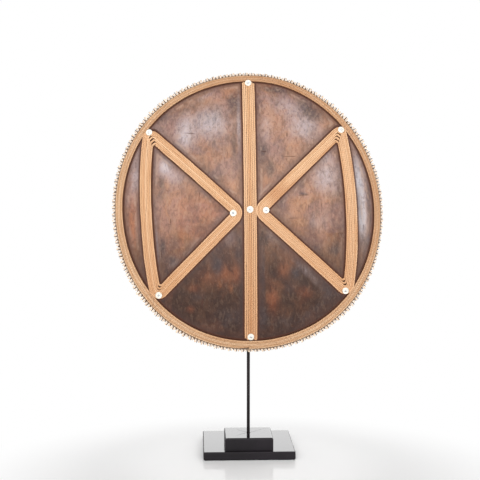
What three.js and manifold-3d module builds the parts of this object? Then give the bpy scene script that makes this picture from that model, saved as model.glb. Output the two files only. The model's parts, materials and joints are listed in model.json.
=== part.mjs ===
// A round wooden shield, shown on a small display stand. A carved, domed body carries a rim and
// three bands of cane laid in grooves, a laced edge, nine shell discs on nails and, in the hollow
// behind, two bent grips. A block screwed in the hollow holds the upright rod of the stand: the
// shield turns on the rod and lifts off it. Millimetres, +Z up, front towards -Y.
// The origin is the middle of the felt under the base.

import * as THREE from 'three';
import { mergeVertices } from 'three/addons/utils/BufferGeometryUtils.js';
import Module from 'manifold-3d';

const wasm = await Module();
wasm.setup();

// Shield, measured over the outer edge of its cane rim
const shieldHalfWidth = 253;
const shieldHalfHeight = 262;
const shieldCentreHeight = 463;
const shieldLeanDegrees = 10;
const rimPlaneBehindRod = 27;

// Carved body
const rimWidth = 14;
const rimRise = 16;
const domeRise = 32.5;
const wallThickness = 9;
const edgeDepth = 7;
const lipWidth = 9;
const flatFloorRadius = 62;
const bodySides = 48;
const domeRings = 7;
const hollowRings = 3;

// Cane, split to a flat underside and a rounded top
const caneWidth = 2.8;
const caneHeight = 2.2;
const canePitch = 3.4;
const bandTurns = 7;
const innerCornerRadius = 3.1;
const barBow = 11.4;
const stepOverShare = 0.06;
const diagonalSteps = 3;
const barSteps = 5;
const wideCornerSteps = 5;
const apexSteps = 3;
const uprightSteps = 8;
const hairpinSteps = 3;

// Where each side band turns, as shares of the field that its corners may reach:
// the apex by the upright band, the upper corner and the lower corner
const leftCornerShares = [[-0.182, -0.036], [-0.839, 0.545], [-0.766, -0.628]];
const rightCornerShares = [[0.182, -0.036], [0.795, 0.581], [0.799, -0.6]];
const apexDiscTurns = 1.5;
const centreDiscDrop = 5;

// Laced edge
const loopCount = 126;
const loopReach = 8;
const laceThickness = 3;
const laceFootGap = 0.6;
const loopRootShare = 0.3;
const loopTipShare = 0.18;

// Shell discs and their nails
const discDiameter = 14;
const discThickness = 2;
const discBevel = 0.5;
const nailDiameter = 1.8;
const nailHeadDiameter = 4.4;
const nailHeadHeight = 0.9;
const nailBite = 5;
const discSides = 14;
const nailSides = 8;

// Grips in the hollow, bent from thick cane
const gripOffset = 62;
const gripSpan = 112;
const gripReach = 38;
const gripDiameter = 12;
const gripBend = 26;
const gripSocketDepth = 3.5;
const gripSides = 5;
const gripSteps = 18;

// Block that takes the rod
const blockWidth = 34;
const blockAbove = 16;
const blockBelow = 48;
const blockBackWall = 8;
const blockScrewInset = 6;

// Stand
const boardSide = 172;
const boardThickness = 14.5;
const feltThickness = 1.5;
const feltInset = 2;
const stepSide = 90;
const stepThickness = 23.5;
const stepForward = 30.5;
const edgeRound = 2;
const stepEdgeRound = 3;
const rodDiameter = 6;
const rodAboveCentre = 12;
const rodSides = 16;
const collarDiameter = 18;
const collarHeight = 12;
const grubDiameter = 4;
const swivelWasherDiameter = 24;
const swivelWasherThickness = 2;
const nutAcrossFlats = 10;
const nutHeight = 5;
const nutWasherDiameter = 14;
const nutWasherThickness = 1.2;
const counterboreDepth = 8;
const counterboreMargin = 2;

// Wood screws: in the block behind the shield, and up through the board into the step
const screwDiameter = 3.6;
const screwHeadDiameter = 7;
const screwHeadHeight = 2.4;
const blockScrewBite = 6;
const boardScrewBite = 12;
const boardScrewShare = 0.3;
const boardScrewSink = 1;
const screwSides = 10;

// Fits
const seatGap = 0.3;
const sideGap = 0.4;
const overrun = 20;

const lean = THREE.MathUtils.degToRad(shieldLeanDegrees);
const tallness = shieldHalfHeight / shieldHalfWidth;
const rodRadius = rodDiameter / 2;
const boreRadius = rodRadius + seatGap;

// The slope that carries the rim cane, set back from the rim's outer face by the cane
const slopeLength = Math.hypot(rimWidth, rimRise);
const slopeOut = { across: rimRise / slopeLength, proud: rimWidth / slopeLength };
const caneSetback = caneHeight + seatGap;
const rimInner = shieldHalfWidth - rimWidth;
const grooveWall = rimInner - slopeOut.across * caneSetback;
const bodyEdge = shieldHalfWidth - slopeOut.across * caneSetback;
const seatInnerProud = rimRise - slopeOut.proud * caneSetback;
const seatOuterProud = -slopeOut.proud * caneSetback;

const looks = {
  carvedWood: new THREE.MeshStandardMaterial({ color: 0x5a3a2b, roughness: 0.42, metalness: 0 }),
  cane: new THREE.MeshStandardMaterial({ color: 0xd5a670, roughness: 0.6, metalness: 0 }),
  paleCane: new THREE.MeshStandardMaterial({ color: 0xe6d6b8, roughness: 0.65, metalness: 0 }),
  shell: new THREE.MeshStandardMaterial({ color: 0xf2eee4, roughness: 0.35, metalness: 0 }),
  steel: new THREE.MeshStandardMaterial({ color: 0x9a9996, roughness: 0.35, metalness: 1 }),
  brass: new THREE.MeshStandardMaterial({ color: 0xb08d4c, roughness: 0.4, metalness: 1 }),
  blackLacquer: new THREE.MeshStandardMaterial({ color: 0x141113, roughness: 0.18, metalness: 0 }),
  blackRod: new THREE.MeshStandardMaterial({ color: 0x161415, roughness: 0.35, metalness: 0.6 }),
  blockWood: new THREE.MeshStandardMaterial({ color: 0x6a4a30, roughness: 0.6, metalness: 0 }),
  felt: new THREE.MeshStandardMaterial({ color: 0x1d1c1e, roughness: 0.95, metalness: 0 }),
};

// A closed solid's triangles with shared corners merged and flat ones dropped, facing outwards
function tidy(geometry) {
  const bare = geometry.clone();
  bare.deleteAttribute('normal');
  bare.deleteAttribute('uv');
  const merged = mergeVertices(bare, 1e-4);
  const corner = (i) => new THREE.Vector3().fromBufferAttribute(merged.attributes.position, i);
  const index = merged.index.array;
  const kept = [];
  let volume = 0;
  for (let i = 0; i < index.length; i += 3) {
    const [a, b, c] = index.slice(i, i + 3);
    if (a === b || b === c || c === a) continue;
    kept.push([a, b, c]);
    volume += corner(a).dot(corner(b).cross(corner(c)));
  }
  const facing = volume < 0 ? kept.map(([a, b, c]) => [a, c, b]) : kept;
  merged.setIndex(facing.flat());
  return merged;
}

function toManifold(geometry) {
  const { attributes, index } = tidy(geometry);
  return new wasm.Manifold(new wasm.Mesh({
    numProp: 3,
    vertProperties: new Float32Array(attributes.position.array),
    triVerts: new Uint32Array(index.array),
  }));
}

function fromManifold(manifold) {
  const { vertProperties, triVerts } = manifold.getMesh();
  const geometry = new THREE.BufferGeometry();
  geometry.setAttribute('position', new THREE.BufferAttribute(new Float32Array(vertProperties), 3));
  geometry.setIndex([...triVerts]);
  return geometry;
}

function cut(geometry, tools) {
  const whole = tools.reduce((left, tool) => left.subtract(toManifold(tool)), toManifold(geometry));
  return fromManifold(whole);
}

function piece(name, geometry, look) {
  const mesh = new THREE.Mesh(tidy(geometry), look);
  mesh.geometry.computeVertexNormals();
  mesh.name = name;
  return mesh;
}

// A skin over rings of points: a tube with capped ends, or a closed loop
function skin(rings, closed = false) {
  const size = rings[0].length;
  const last = (rings.length - 1) * size;
  const faces = [];
  for (let i = 0; i < rings.length - (closed ? 0 : 1); i++) {
    const here = i * size;
    const next = ((i + 1) % rings.length) * size;
    for (let j = 0; j < size; j++) {
      const k = (j + 1) % size;
      faces.push(here + j, next + j, next + k, here + j, next + k, here + k);
    }
  }
  if (!closed) {
    for (let j = 1; j < size - 1; j++) faces.push(0, j, j + 1, last, last + j + 1, last + j);
  }
  const geometry = new THREE.BufferGeometry();
  geometry.setAttribute('position', new THREE.Float32BufferAttribute(
    rings.flat().flatMap((point) => point.toArray()), 3));
  geometry.setIndex(faces);
  return geometry;
}

// An upright rod-shaped solid, from one height to another, about a vertical axis
function upright(radius, from, to, sides, x = 0, y = 0) {
  const geometry = new THREE.CylinderGeometry(radius, radius, to - from, sides);
  return geometry.rotateX(Math.PI / 2).translate(x, y, (from + to) / 2);
}

// A turned solid about +Z from its half profile, as [radius, height] pairs
function turned(profile, sides) {
  const points = profile.map(([radius, height]) => new THREE.Vector2(radius, height));
  return new THREE.LatheGeometry(points, sides).rotateX(Math.PI / 2);
}

function ringProfile(inner, outer, from, to) {
  return [[inner, from], [outer, from], [outer, to], [inner, to], [inner, from]];
}

// A square block with rounded upright corners and a rounded top edge
function block(side, thickness, rounding, x, y, z) {
  const flat = side / 2 - rounding;
  const outline = new THREE.Shape();
  outline.moveTo(-flat, -flat);
  outline.lineTo(flat, -flat);
  outline.lineTo(flat, flat);
  outline.lineTo(-flat, flat);
  outline.closePath();
  const topped = new THREE.ExtrudeGeometry(outline, {
    depth: thickness, bevelEnabled: true, bevelThickness: rounding, bevelSize: rounding,
    bevelSegments: 3, curveSegments: 1,
  });
  topped.translate(0, 0, -rounding);
  const foot = new THREE.BoxGeometry(side + overrun, side + overrun, overrun);
  return cut(topped, [foot.translate(0, 0, -overrun / 2)]).translate(x, y, z);
}

// Places on the shield are given across, up and proud of the plane of its outer edge
const place = (across, up, proud) => new THREE.Vector3(across, -proud, up);

const domeFall = domeRise / rimInner ** 2;

function domeProud(across, up) {
  return rimRise + domeRise - domeFall * (across ** 2 + (up / tallness) ** 2);
}

function domeSlope(across, up) {
  return new THREE.Vector2(-2 * domeFall * across, (-2 * domeFall * up) / tallness ** 2);
}

function domeNormal(across, up) {
  const slope = domeSlope(across, up);
  return place(-slope.x, -slope.y, 1).normalize();
}

// The cane's section at a place, its width along the given direction over the dome
function caneRing(foot, sideways, normal) {
  const section = [
    [-caneWidth / 2, 0], [caneWidth / 2, 0], [caneWidth / 2, caneHeight / 2],
    [caneWidth / 4, caneHeight], [-caneWidth / 4, caneHeight], [-caneWidth / 2, caneHeight / 2],
  ];
  return section.map(([along, above]) => foot.clone()
    .addScaledVector(sideways, along)
    .addScaledVector(normal, above));
}

function bandRing(spot, sideways) {
  const slope = domeSlope(spot.x, spot.y).dot(sideways);
  const direction = place(sideways.x, sideways.y, slope).normalize();
  const normal = domeNormal(spot.x, spot.y);
  const floor = domeProud(spot.x, spot.y) - caneHeight;
  const foot = place(spot.x, spot.y, floor).addScaledVector(normal, seatGap);
  return caneRing(foot, direction, normal);
}

// One cross-section of the tool that cuts a groove, from floor to well above the surface
function grooveRing(inner, outer) {
  const floor = (spot) => domeProud(spot.x, spot.y) - caneHeight;
  return [
    place(inner.x, inner.y, floor(inner)), place(outer.x, outer.y, floor(outer)),
    place(outer.x, outer.y, floor(outer) + overrun), place(inner.x, inner.y, floor(inner) + overrun),
  ];
}

// Least distance between points on the sides of different turns, for a winding's printed gap
function leastGap(rings, perTurn) {
  const samples = [];
  for (let i = 0; i < rings.length - 1; i++) {
    for (const corner of [0, 1]) {
      for (const share of [0, 0.25, 0.5, 0.75]) {
        samples.push({ i, point: rings[i][corner].clone().lerp(rings[i + 1][corner], share) });
      }
    }
  }
  let least = Infinity;
  for (const one of samples) {
    for (const other of samples) {
      if (other.i - one.i > perTurn / 2) least = Math.min(least, one.point.distanceTo(other.point));
    }
  }
  return least.toFixed(2);
}

// Side bands: seven turns of one cane about three corner points
const outerCornerRadius = innerCornerRadius + (bandTurns - 1) * canePitch;
const cornerReach = outerCornerRadius + caneWidth / 2 + sideGap;
const field = {
  across: grooveWall - cornerReach - sideGap,
  up: grooveWall * tallness - cornerReach - sideGap,
};

// Stations round a band: a point on the line between the corner points, and the way outwards
function bandStations(cornerShares) {
  const corners = cornerShares.map(([across, up]) => (
    new THREE.Vector2(across * field.across, up * field.up)));
  const middle = corners[0].clone().add(corners[1]).add(corners[2]).divideScalar(3);
  const sides = corners.map((from, i) => {
    const to = corners[(i + 1) % 3];
    const run = to.clone().sub(from);
    const out = new THREE.Vector2(run.y, -run.x).normalize();
    if (out.dot(from.clone().sub(middle)) < 0) out.negate();
    const bow = i === 1 ? barBow : 0;
    const outAt = (share) => {
      const along = run.clone().addScaledVector(out, 4 * bow * (1 - 2 * share));
      const normal = new THREE.Vector2(along.y, -along.x).normalize();
      return normal.dot(out) < 0 ? normal.negate() : normal;
    };
    const pointAt = (share) => from.clone().lerp(to, share)
      .addScaledVector(out, 4 * bow * share * (1 - share));
    return { outAt, pointAt, steps: i === 1 ? barSteps : diagonalSteps };
  });
  const sideRun = (i, first) => {
    const { outAt, pointAt, steps } = sides[i];
    const shares = Array.from({ length: steps - 1 }, (_, j) => (j + 1) / steps);
    return [...first, ...shares].map((share) => ({ base: pointAt(share), out: outAt(share) }));
  };
  const cornerRun = (i) => {
    const start = sides[(i + 2) % 3].outAt(1).angle();
    const end = sides[i].outAt(0).angle();
    const turn = THREE.MathUtils.euclideanModulo(end - start + Math.PI, 2 * Math.PI) - Math.PI;
    const steps = i === 0 ? apexSteps : wideCornerSteps;
    return Array.from({ length: steps + 1 }, (_, j) => {
      const angle = start + (turn * j) / steps;
      return { base: corners[i], out: new THREE.Vector2(Math.cos(angle), Math.sin(angle)) };
    });
  };
  return {
    stations: [...sideRun(1, [stepOverShare]), ...cornerRun(2), ...sideRun(2, []),
      ...cornerRun(0), ...sideRun(0, []), ...cornerRun(1)],
    corners: corners.map((base, i) => ({
      base, out: sides[(i + 2) % 3].outAt(1).add(sides[i].outAt(0)).normalize(),
    })),
  };
}

const offsetFrom = ({ base, out }, radius) => base.clone().addScaledVector(out, radius);

// The cane steps in by one pitch where a turn ends, next to the upper corner
function sideBand(stations) {
  const rings = [];
  for (let turn = 0; turn < bandTurns; turn++) {
    const radius = outerCornerRadius - turn * canePitch;
    for (const station of stations) rings.push(bandRing(offsetFrom(station, radius), station.out));
  }
  return rings;
}

function sideGroove(stations) {
  const inner = innerCornerRadius - caneWidth / 2 - sideGap;
  const outer = outerCornerRadius + caneWidth / 2 + sideGap;
  return skin(stations.map((station) => (
    grooveRing(offsetFrom(station, inner), offsetFrom(station, outer)))), true);
}

// Upright band: one cane laid to and fro, with a hairpin at the end of each run
const uprightEnd = grooveWall * tallness - canePitch / 2 - caneWidth / 2 - 2 * sideGap;
const uprightHalfWidth = ((bandTurns - 1) / 2) * canePitch;
const uprightHeights = Array.from({ length: uprightSteps + 1 }, (_, i) => (
  uprightEnd * (2 * i / uprightSteps - 1)));

function uprightBand() {
  const rings = [];
  for (let run = 0; run < bandTurns; run++) {
    const across = run * canePitch - uprightHalfWidth;
    const rising = run % 2 === 0;
    const way = rising ? 1 : -1;
    const sideways = new THREE.Vector2(way, 0);
    const heights = rising ? uprightHeights : [...uprightHeights].reverse();
    for (const up of heights) rings.push(bandRing(new THREE.Vector2(across, up), sideways));
    if (run === bandTurns - 1) break;
    const centre = new THREE.Vector2(across + canePitch / 2, way * uprightEnd);
    for (let i = 1; i < hairpinSteps; i++) {
      const angle = (Math.PI * i) / hairpinSteps;
      const arm = new THREE.Vector2(-Math.cos(angle), way * Math.sin(angle));
      const spot = centre.clone().addScaledVector(arm, canePitch / 2);
      rings.push(bandRing(spot, arm.multiplyScalar(-way)));
    }
  }
  return rings;
}

function uprightGroove() {
  const half = uprightHalfWidth + caneWidth / 2 + sideGap;
  const end = (grooveWall + sideGap) * tallness;
  const heights = [-end, ...uprightHeights, end];
  return skin(heights.map((up) => (
    grooveRing(new THREE.Vector2(-half, up), new THREE.Vector2(half, up)))));
}

// Rim cane: as many turns as the slope holds, from its foot inwards
const rimTurns = Math.floor((slopeLength - 2 * sideGap - caneWidth) / canePitch) + 1;
const rimMargin = (slopeLength - (rimTurns - 1) * canePitch) / 2;

function rimRings() {
  const rings = [];
  for (let turn = 0; turn < rimTurns; turn++) {
    const along = slopeLength - rimMargin - turn * canePitch;
    for (let i = 0; i < bodySides; i++) {
      const angle = (2 * Math.PI * i) / bodySides - Math.PI / 2;
      const away = (across, proud) => place(
        across * Math.cos(angle), across * tallness * Math.sin(angle), proud);
      const radius = grooveWall + slopeOut.proud * along + slopeOut.across * seatGap;
      const proud = seatInnerProud - slopeOut.across * along + slopeOut.proud * seatGap;
      const sideways = away(slopeOut.proud, -slopeOut.across).normalize();
      const normal = away(slopeOut.across, slopeOut.proud).normalize();
      rings.push(caneRing(away(radius, proud), sideways, normal));
    }
  }
  return rings;
}

// Carved body, before its grooves and holes
function bodyBlank() {
  const dome = Array.from({ length: domeRings + 1 }, (_, i) => {
    const radius = (grooveWall * i) / domeRings;
    return [radius, domeProud(radius, 0)];
  });
  const hollowEdge = grooveWall - lipWidth;
  const hollow = Array.from({ length: hollowRings + 1 }, (_, i) => {
    const radius = hollowEdge + ((flatFloorRadius - hollowEdge) * i) / hollowRings;
    return [radius, domeProud(radius, 0) - wallThickness];
  });
  const profile = [
    ...dome, [grooveWall, seatInnerProud], [bodyEdge, seatOuterProud], [bodyEdge, -edgeDepth],
    [bodyEdge - lipWidth, -edgeDepth], ...hollow, [0, floorProud],
  ];
  const blank = turned(profile, bodySides);
  return blank.rotateX(Math.PI / 2).scale(1, 1, tallness);
}

const floorProud = domeProud(flatFloorRadius, 0) - wallThickness;

// A solid drawn upright along +Z, its foot at the origin, set on the shield along a direction
function setAlong(geometry, foot, direction) {
  const turn = new THREE.Quaternion().setFromUnitVectors(new THREE.Vector3(0, 0, 1), direction);
  return geometry.applyQuaternion(turn).translate(...foot.toArray());
}

// Edge lacing: a thin hoop with one tooth for each loop of cane
function edgeLacing() {
  const root = shieldHalfWidth + laceFootGap;
  const tip = shieldHalfWidth + loopReach;
  const pitch = (2 * Math.PI) / loopCount;
  const outline = new THREE.Shape();
  for (let i = 0; i < loopCount; i++) {
    const marks = [[-loopRootShare, root], [-loopTipShare, tip], [loopTipShare, tip],
      [loopRootShare, root]];
    for (const [share, radius] of marks) {
      const angle = (i + share) * pitch;
      const move = i === 0 && share === -loopRootShare ? 'moveTo' : 'lineTo';
      outline[move](radius * Math.cos(angle), radius * Math.sin(angle));
    }
  }
  outline.closePath();
  const hole = new THREE.Path();
  for (let i = 0; i < bodySides; i++) {
    const angle = (-2 * Math.PI * i) / bodySides;
    const inner = bodyEdge + seatGap;
    hole[i === 0 ? 'moveTo' : 'lineTo'](inner * Math.cos(angle), inner * Math.sin(angle));
  }
  hole.closePath();
  outline.holes.push(hole);
  const hoop = new THREE.ExtrudeGeometry(outline, { depth: laceThickness, bevelEnabled: false });
  const front = seatOuterProud - seatGap;
  return hoop.rotateX(Math.PI / 2).scale(1, 1, tallness).translate(0, laceThickness - front, 0);
}

// Shell discs: where each sits, and its name. The nail beside a band's corner stands square to the
// dome, so its hole drifts towards the upright wall of the groove and is kept that much further out
const nailHoleRadius = nailDiameter / 2 + seatGap;
const left = bandStations(leftCornerShares);
const right = bandStations(rightCornerShares);
const edgeSlope = 2 * domeFall * grooveWall;
const holeDrift = caneHeight * edgeSlope + seatGap;
const besideBand = outerCornerRadius + caneWidth / 2 + sideGap + holeDrift + nailHoleRadius;
const insideBand = innerCornerRadius + apexDiscTurns * canePitch;
const discSpots = {
  centre: new THREE.Vector2(canePitch / 2, -centreDiscDrop),
  top: new THREE.Vector2(canePitch / 2, uprightEnd),
  bottom: new THREE.Vector2(-canePitch / 2, -uprightEnd),
  left_apex: offsetFrom(left.corners[0], insideBand),
  left_upper: offsetFrom(left.corners[1], besideBand),
  left_lower: offsetFrom(left.corners[2], besideBand),
  right_apex: offsetFrom(right.corners[0], insideBand),
  right_upper: offsetFrom(right.corners[1], besideBand),
  right_lower: offsetFrom(right.corners[2], besideBand),
};
const discLift = 2 * seatGap;

function onDome(geometry, spot) {
  const foot = place(spot.x, spot.y, domeProud(spot.x, spot.y));
  return setAlong(geometry, foot, domeNormal(spot.x, spot.y));
}

function shellDisc(spot) {
  const rim = discDiameter / 2;
  const top = discLift + discThickness;
  return onDome(turned([
    [nailHoleRadius, discLift], [rim, discLift], [rim - discBevel, top], [nailHoleRadius, top],
    [nailHoleRadius, discLift],
  ], discSides), spot);
}

function discNail(spot) {
  const under = discLift + discThickness + seatGap;
  return onDome(turned([
    [0, -nailBite], [nailDiameter / 2, -nailBite], [nailDiameter / 2, under],
    [nailHeadDiameter / 2, under], [nailHeadDiameter / 4, under + nailHeadHeight],
    [0, under + nailHeadHeight],
  ], nailSides), spot);
}

function nailHole(spot) {
  const bottom = -nailBite - seatGap;
  return onDome(upright(nailHoleRadius, bottom, overrun, nailSides), spot);
}

// Grips: a bent bow between two sockets in the hollow
const gripEnds = [-gripSpan / 2, gripSpan / 2];

function gripFloor(across, up) {
  return domeProud(across, up) - wallThickness;
}

function grip(across) {
  const back = gripFloor(across, gripSpan / 2) - gripReach - gripDiameter / 2;
  const route = new THREE.CurvePath();
  const point = (up, proud) => place(across, up, proud);
  const [low, high] = gripEnds;
  const lowFoot = point(low, gripFloor(across, low) + gripSocketDepth - seatGap);
  const highFoot = point(high, gripFloor(across, high) + gripSocketDepth - seatGap);
  route.add(new THREE.LineCurve3(lowFoot, point(low, back + gripBend)));
  route.add(new THREE.QuadraticBezierCurve3(
    point(low, back + gripBend), point(low, back), point(low + gripBend, back)));
  route.add(new THREE.LineCurve3(point(low + gripBend, back), point(high - gripBend, back)));
  route.add(new THREE.QuadraticBezierCurve3(
    point(high - gripBend, back), point(high, back), point(high, back + gripBend)));
  route.add(new THREE.LineCurve3(point(high, back + gripBend), highFoot));
  const outline = new THREE.Shape();
  outline.absarc(0, 0, gripDiameter / 2, 0, 2 * Math.PI);
  return new THREE.ExtrudeGeometry(outline, {
    steps: gripSteps, extrudePath: route, curveSegments: gripSides, bevelEnabled: false,
  });
}

function gripSockets(across) {
  return gripEnds.map((up) => {
    const bottom = place(across, up, gripFloor(across, up) + gripSocketDepth);
    const radius = gripDiameter / 2 + seatGap;
    return setAlong(upright(radius, 0, overrun, 2 * gripSides), bottom, place(0, 0, -1));
  });
}

// The shield leans back on the rod. Tools drawn upright in the stand's frame are carried over
const rodPlace = { x: 0, y: -stepForward };
const shieldPlacement = new THREE.Matrix4()
  .makeTranslation(rodPlace.x, rodPlace.y + rimPlaneBehindRod, shieldCentreHeight)
  .multiply(new THREE.Matrix4().makeRotationX(-lean));
const intoShield = shieldPlacement.clone().invert();

// Block: flat on the hollow's floor, cut level at its foot and bored upright for the rod
const blockFootHeight = shieldCentreHeight - blockBelow;
const blockTopUp = blockAbove * Math.cos(lean);
const blockFootUp = -(blockBelow + rimPlaneBehindRod * Math.tan(lean)) / Math.cos(lean);
const blockFront = floorProud - seatGap;
const axisAtFoot = rimPlaneBehindRod * Math.cos(lean) - blockBelow * Math.sin(lean);
const blockBack = axisAtFoot - boreRadius - blockBackWall;
const blockScrewSpots = [-1, 1].flatMap((side) => (
  [blockFootUp + 3 * blockScrewInset, blockTopUp - blockScrewInset].map((up) => (
    place(side * (blockWidth / 2 - blockScrewInset), up, blockBack)))));

function socketBlock() {
  const depth = blockFront - blockBack;
  const height = blockTopUp - blockFootUp;
  const body = new THREE.BoxGeometry(blockWidth, depth, height);
  body.translate(0, -(blockFront + blockBack) / 2, (blockTopUp + blockFootUp) / 2);
  const below = new THREE.BoxGeometry(blockWidth + overrun, depth + 4 * overrun, 2 * overrun);
  below.translate(rodPlace.x, rodPlace.y, blockFootHeight - overrun).applyMatrix4(intoShield);
  const bore = upright(boreRadius, blockFootHeight - overrun,
    shieldCentreHeight + blockAbove + 2 * overrun, rodSides, rodPlace.x, rodPlace.y);
  bore.applyMatrix4(intoShield);
  const holes = blockScrewSpots.map((spot) => screwHole(spot, blockFront - blockBack));
  return cut(body, [below, bore, ...holes]);
}

// Wood screws, drawn along +Z with the outer face of the head at the origin
function screw(length) {
  return turned([
    [0, 0], [screwHeadDiameter / 2, 0], [screwDiameter / 2, screwHeadHeight],
    [screwDiameter / 2, length], [0, length],
  ], screwSides);
}

function screwHole(spot, length) {
  const shank = screwDiameter / 2 + seatGap;
  const head = screwHeadDiameter / 2 + seatGap;
  const hole = turned([
    [0, -seatGap], [head, -seatGap], [head, seatGap], [shank, screwHeadHeight + seatGap],
    [shank, length + overrun], [0, length + overrun],
  ], screwSides);
  return setAlong(hole, spot, place(0, 0, 1));
}

const blockScrewLength = blockFront - blockBack + seatGap + blockScrewBite;

function blindHole(spot) {
  const foot = spot.clone().setY(-(blockFront - seatGap));
  const depth = 2 * seatGap + blockScrewBite + seatGap;
  return setAlong(upright(screwDiameter / 2 + seatGap, 0, depth, screwSides), foot, place(0, 0, 1));
}

// Shield assembly
const shield = new THREE.Group();
shield.applyMatrix4(shieldPlacement);

const leftRings = sideBand(left.stations);
const rightRings = sideBand(right.stations);
const uprightRings = uprightBand();
const rim = rimRings();
console.log(`Least gap between turns: rim ${leastGap(rim, bodySides)} mm`);
console.log(`left band ${leastGap(leftRings, left.stations.length)} mm`);
console.log(`right band ${leastGap(rightRings, right.stations.length)} mm`);
console.log(`upright band ${leastGap(uprightRings, uprightSteps)} mm`);

const spots = Object.values(discSpots);
const gripPlaces = { hand_grip: gripOffset, arm_grip: -gripOffset };
const bodyTools = [
  sideGroove(left.stations), sideGroove(right.stations), uprightGroove(),
  ...spots.map(nailHole), ...blockScrewSpots.map(blindHole),
  ...Object.values(gripPlaces).flatMap(gripSockets),
];
shield.add(
  piece('shield_body', cut(bodyBlank(), bodyTools), looks.carvedWood),
  piece('rim_cane', skin(rim), looks.cane),
  piece('left_band_cane', cut(skin(leftRings), [nailHole(discSpots.left_apex)]), looks.cane),
  piece('right_band_cane', cut(skin(rightRings), [nailHole(discSpots.right_apex)]), looks.cane),
  piece('upright_band_cane', cut(skin(uprightRings), [
    nailHole(discSpots.centre), nailHole(discSpots.top), nailHole(discSpots.bottom),
  ]), looks.cane),
  piece('edge_lacing', edgeLacing(), looks.paleCane),
  piece('socket_block', socketBlock(), looks.blockWood),
);
for (const [name, spot] of Object.entries(discSpots)) {
  shield.add(piece(`shell_disc_${name}`, shellDisc(spot), looks.shell));
  shield.add(piece(`disc_nail_${name}`, discNail(spot), looks.steel));
}
for (const [name, across] of Object.entries(gripPlaces)) {
  shield.add(piece(name, grip(across), looks.cane));
}
blockScrewSpots.forEach((spot, i) => {
  const geometry = setAlong(screw(blockScrewLength), spot, place(0, 0, 1));
  shield.add(piece(`block_screw_${i + 1}`, geometry, looks.brass));
});

// Stand assembly, from the felt up
const stand = new THREE.Group();
const boardTop = feltThickness + boardThickness;
const stepTop = boardTop + stepThickness;
const rodBore = () => upright(boreRadius, -overrun, stepTop + overrun, rodSides,
  rodPlace.x, rodPlace.y);
const counterboreRadius = nutWasherDiameter / 2 + counterboreMargin;
const counterboreTop = feltThickness + counterboreDepth;
const counterbore = upright(counterboreRadius, -overrun, counterboreTop, rodSides,
  rodPlace.x, rodPlace.y);
const boardScrewHead = feltThickness + boardScrewSink;
const boardScrewLength = boardThickness - boardScrewSink + boardScrewBite;
const boardScrewSpots = [-1, 1].map((side) => (
  new THREE.Vector3(side * boardScrewShare * stepSide, rodPlace.y, boardScrewHead)));
const boardScrewHoles = boardScrewSpots.map((spot) => {
  const shank = screwDiameter / 2 + seatGap;
  const head = screwHeadDiameter / 2 + seatGap;
  return turned([
    [0, -overrun], [head, -overrun], [head, seatGap], [shank, screwHeadHeight + seatGap],
    [shank, boardScrewLength + seatGap], [0, boardScrewLength + seatGap],
  ], screwSides).translate(...spot.toArray());
});

function rodNut() {
  const corner = nutAcrossFlats / Math.sqrt(3);
  const top = counterboreTop - 2 * seatGap - nutWasherThickness;
  const nut = upright(corner, top - nutHeight, top, 6, rodPlace.x, rodPlace.y);
  return cut(nut, [rodBore()]);
}

const feltSide = boardSide - 2 * feltInset;
const felt = new THREE.BoxGeometry(feltSide, feltSide, feltThickness);
const washerTop = counterboreTop - seatGap;
const swivelTop = blockFootHeight - seatGap;
const swivelFoot = swivelTop - swivelWasherThickness;
const collarTop = swivelFoot - seatGap;
const collarFoot = collarTop - collarHeight;
const rodFoot = feltThickness + seatGap;
const grubHeight = (collarFoot + collarTop) / 2;

function aboutRod(inner, outer, from, to, sides) {
  return turned(ringProfile(inner, outer, from, to), sides).translate(rodPlace.x, rodPlace.y, 0);
}

// A rod-shaped solid that lies along +Y, at the height of the collar's grub screw
function alongCollar(radius, from, to) {
  const geometry = new THREE.CylinderGeometry(radius, radius, to - from, screwSides);
  return geometry.translate(rodPlace.x, rodPlace.y + (from + to) / 2, grubHeight);
}

const collar = cut(
  aboutRod(boreRadius, collarDiameter / 2, collarFoot, collarTop, rodSides),
  [alongCollar(grubDiameter / 2 + seatGap, 0, collarDiameter)],
);

stand.add(
  piece('base_felt', felt.translate(0, 0, feltThickness / 2), looks.felt),
  piece('base_board', cut(
    block(boardSide, boardThickness, edgeRound, 0, 0, feltThickness),
    [rodBore(), counterbore, ...boardScrewHoles],
  ), looks.blackLacquer),
  piece('step_block', cut(
    block(stepSide, stepThickness, stepEdgeRound, rodPlace.x, rodPlace.y, boardTop),
    [rodBore(), ...boardScrewHoles],
  ), looks.blackLacquer),
  piece('stand_rod', upright(rodRadius, rodFoot, shieldCentreHeight + rodAboveCentre, rodSides,
    rodPlace.x, rodPlace.y), looks.blackRod),
  piece('rod_nut', rodNut(), looks.steel),
  piece('rod_washer', aboutRod(boreRadius, nutWasherDiameter / 2,
    washerTop - nutWasherThickness, washerTop, rodSides), looks.steel),
  piece('stop_collar', collar, looks.blackRod),
  piece('collar_screw', alongCollar(grubDiameter / 2, boreRadius, collarDiameter / 2), looks.steel),
  piece('swivel_washer', aboutRod(boreRadius, swivelWasherDiameter / 2, swivelFoot, swivelTop,
    rodSides), looks.brass),
);
boardScrewSpots.forEach((spot, i) => {
  const geometry = screw(boardScrewLength).translate(...spot.toArray());
  stand.add(piece(`board_screw_${i + 1}`, geometry, looks.brass));
});

const model = new THREE.Group();
model.add(shield, stand);

export default model;
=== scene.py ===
import json
import math

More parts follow.
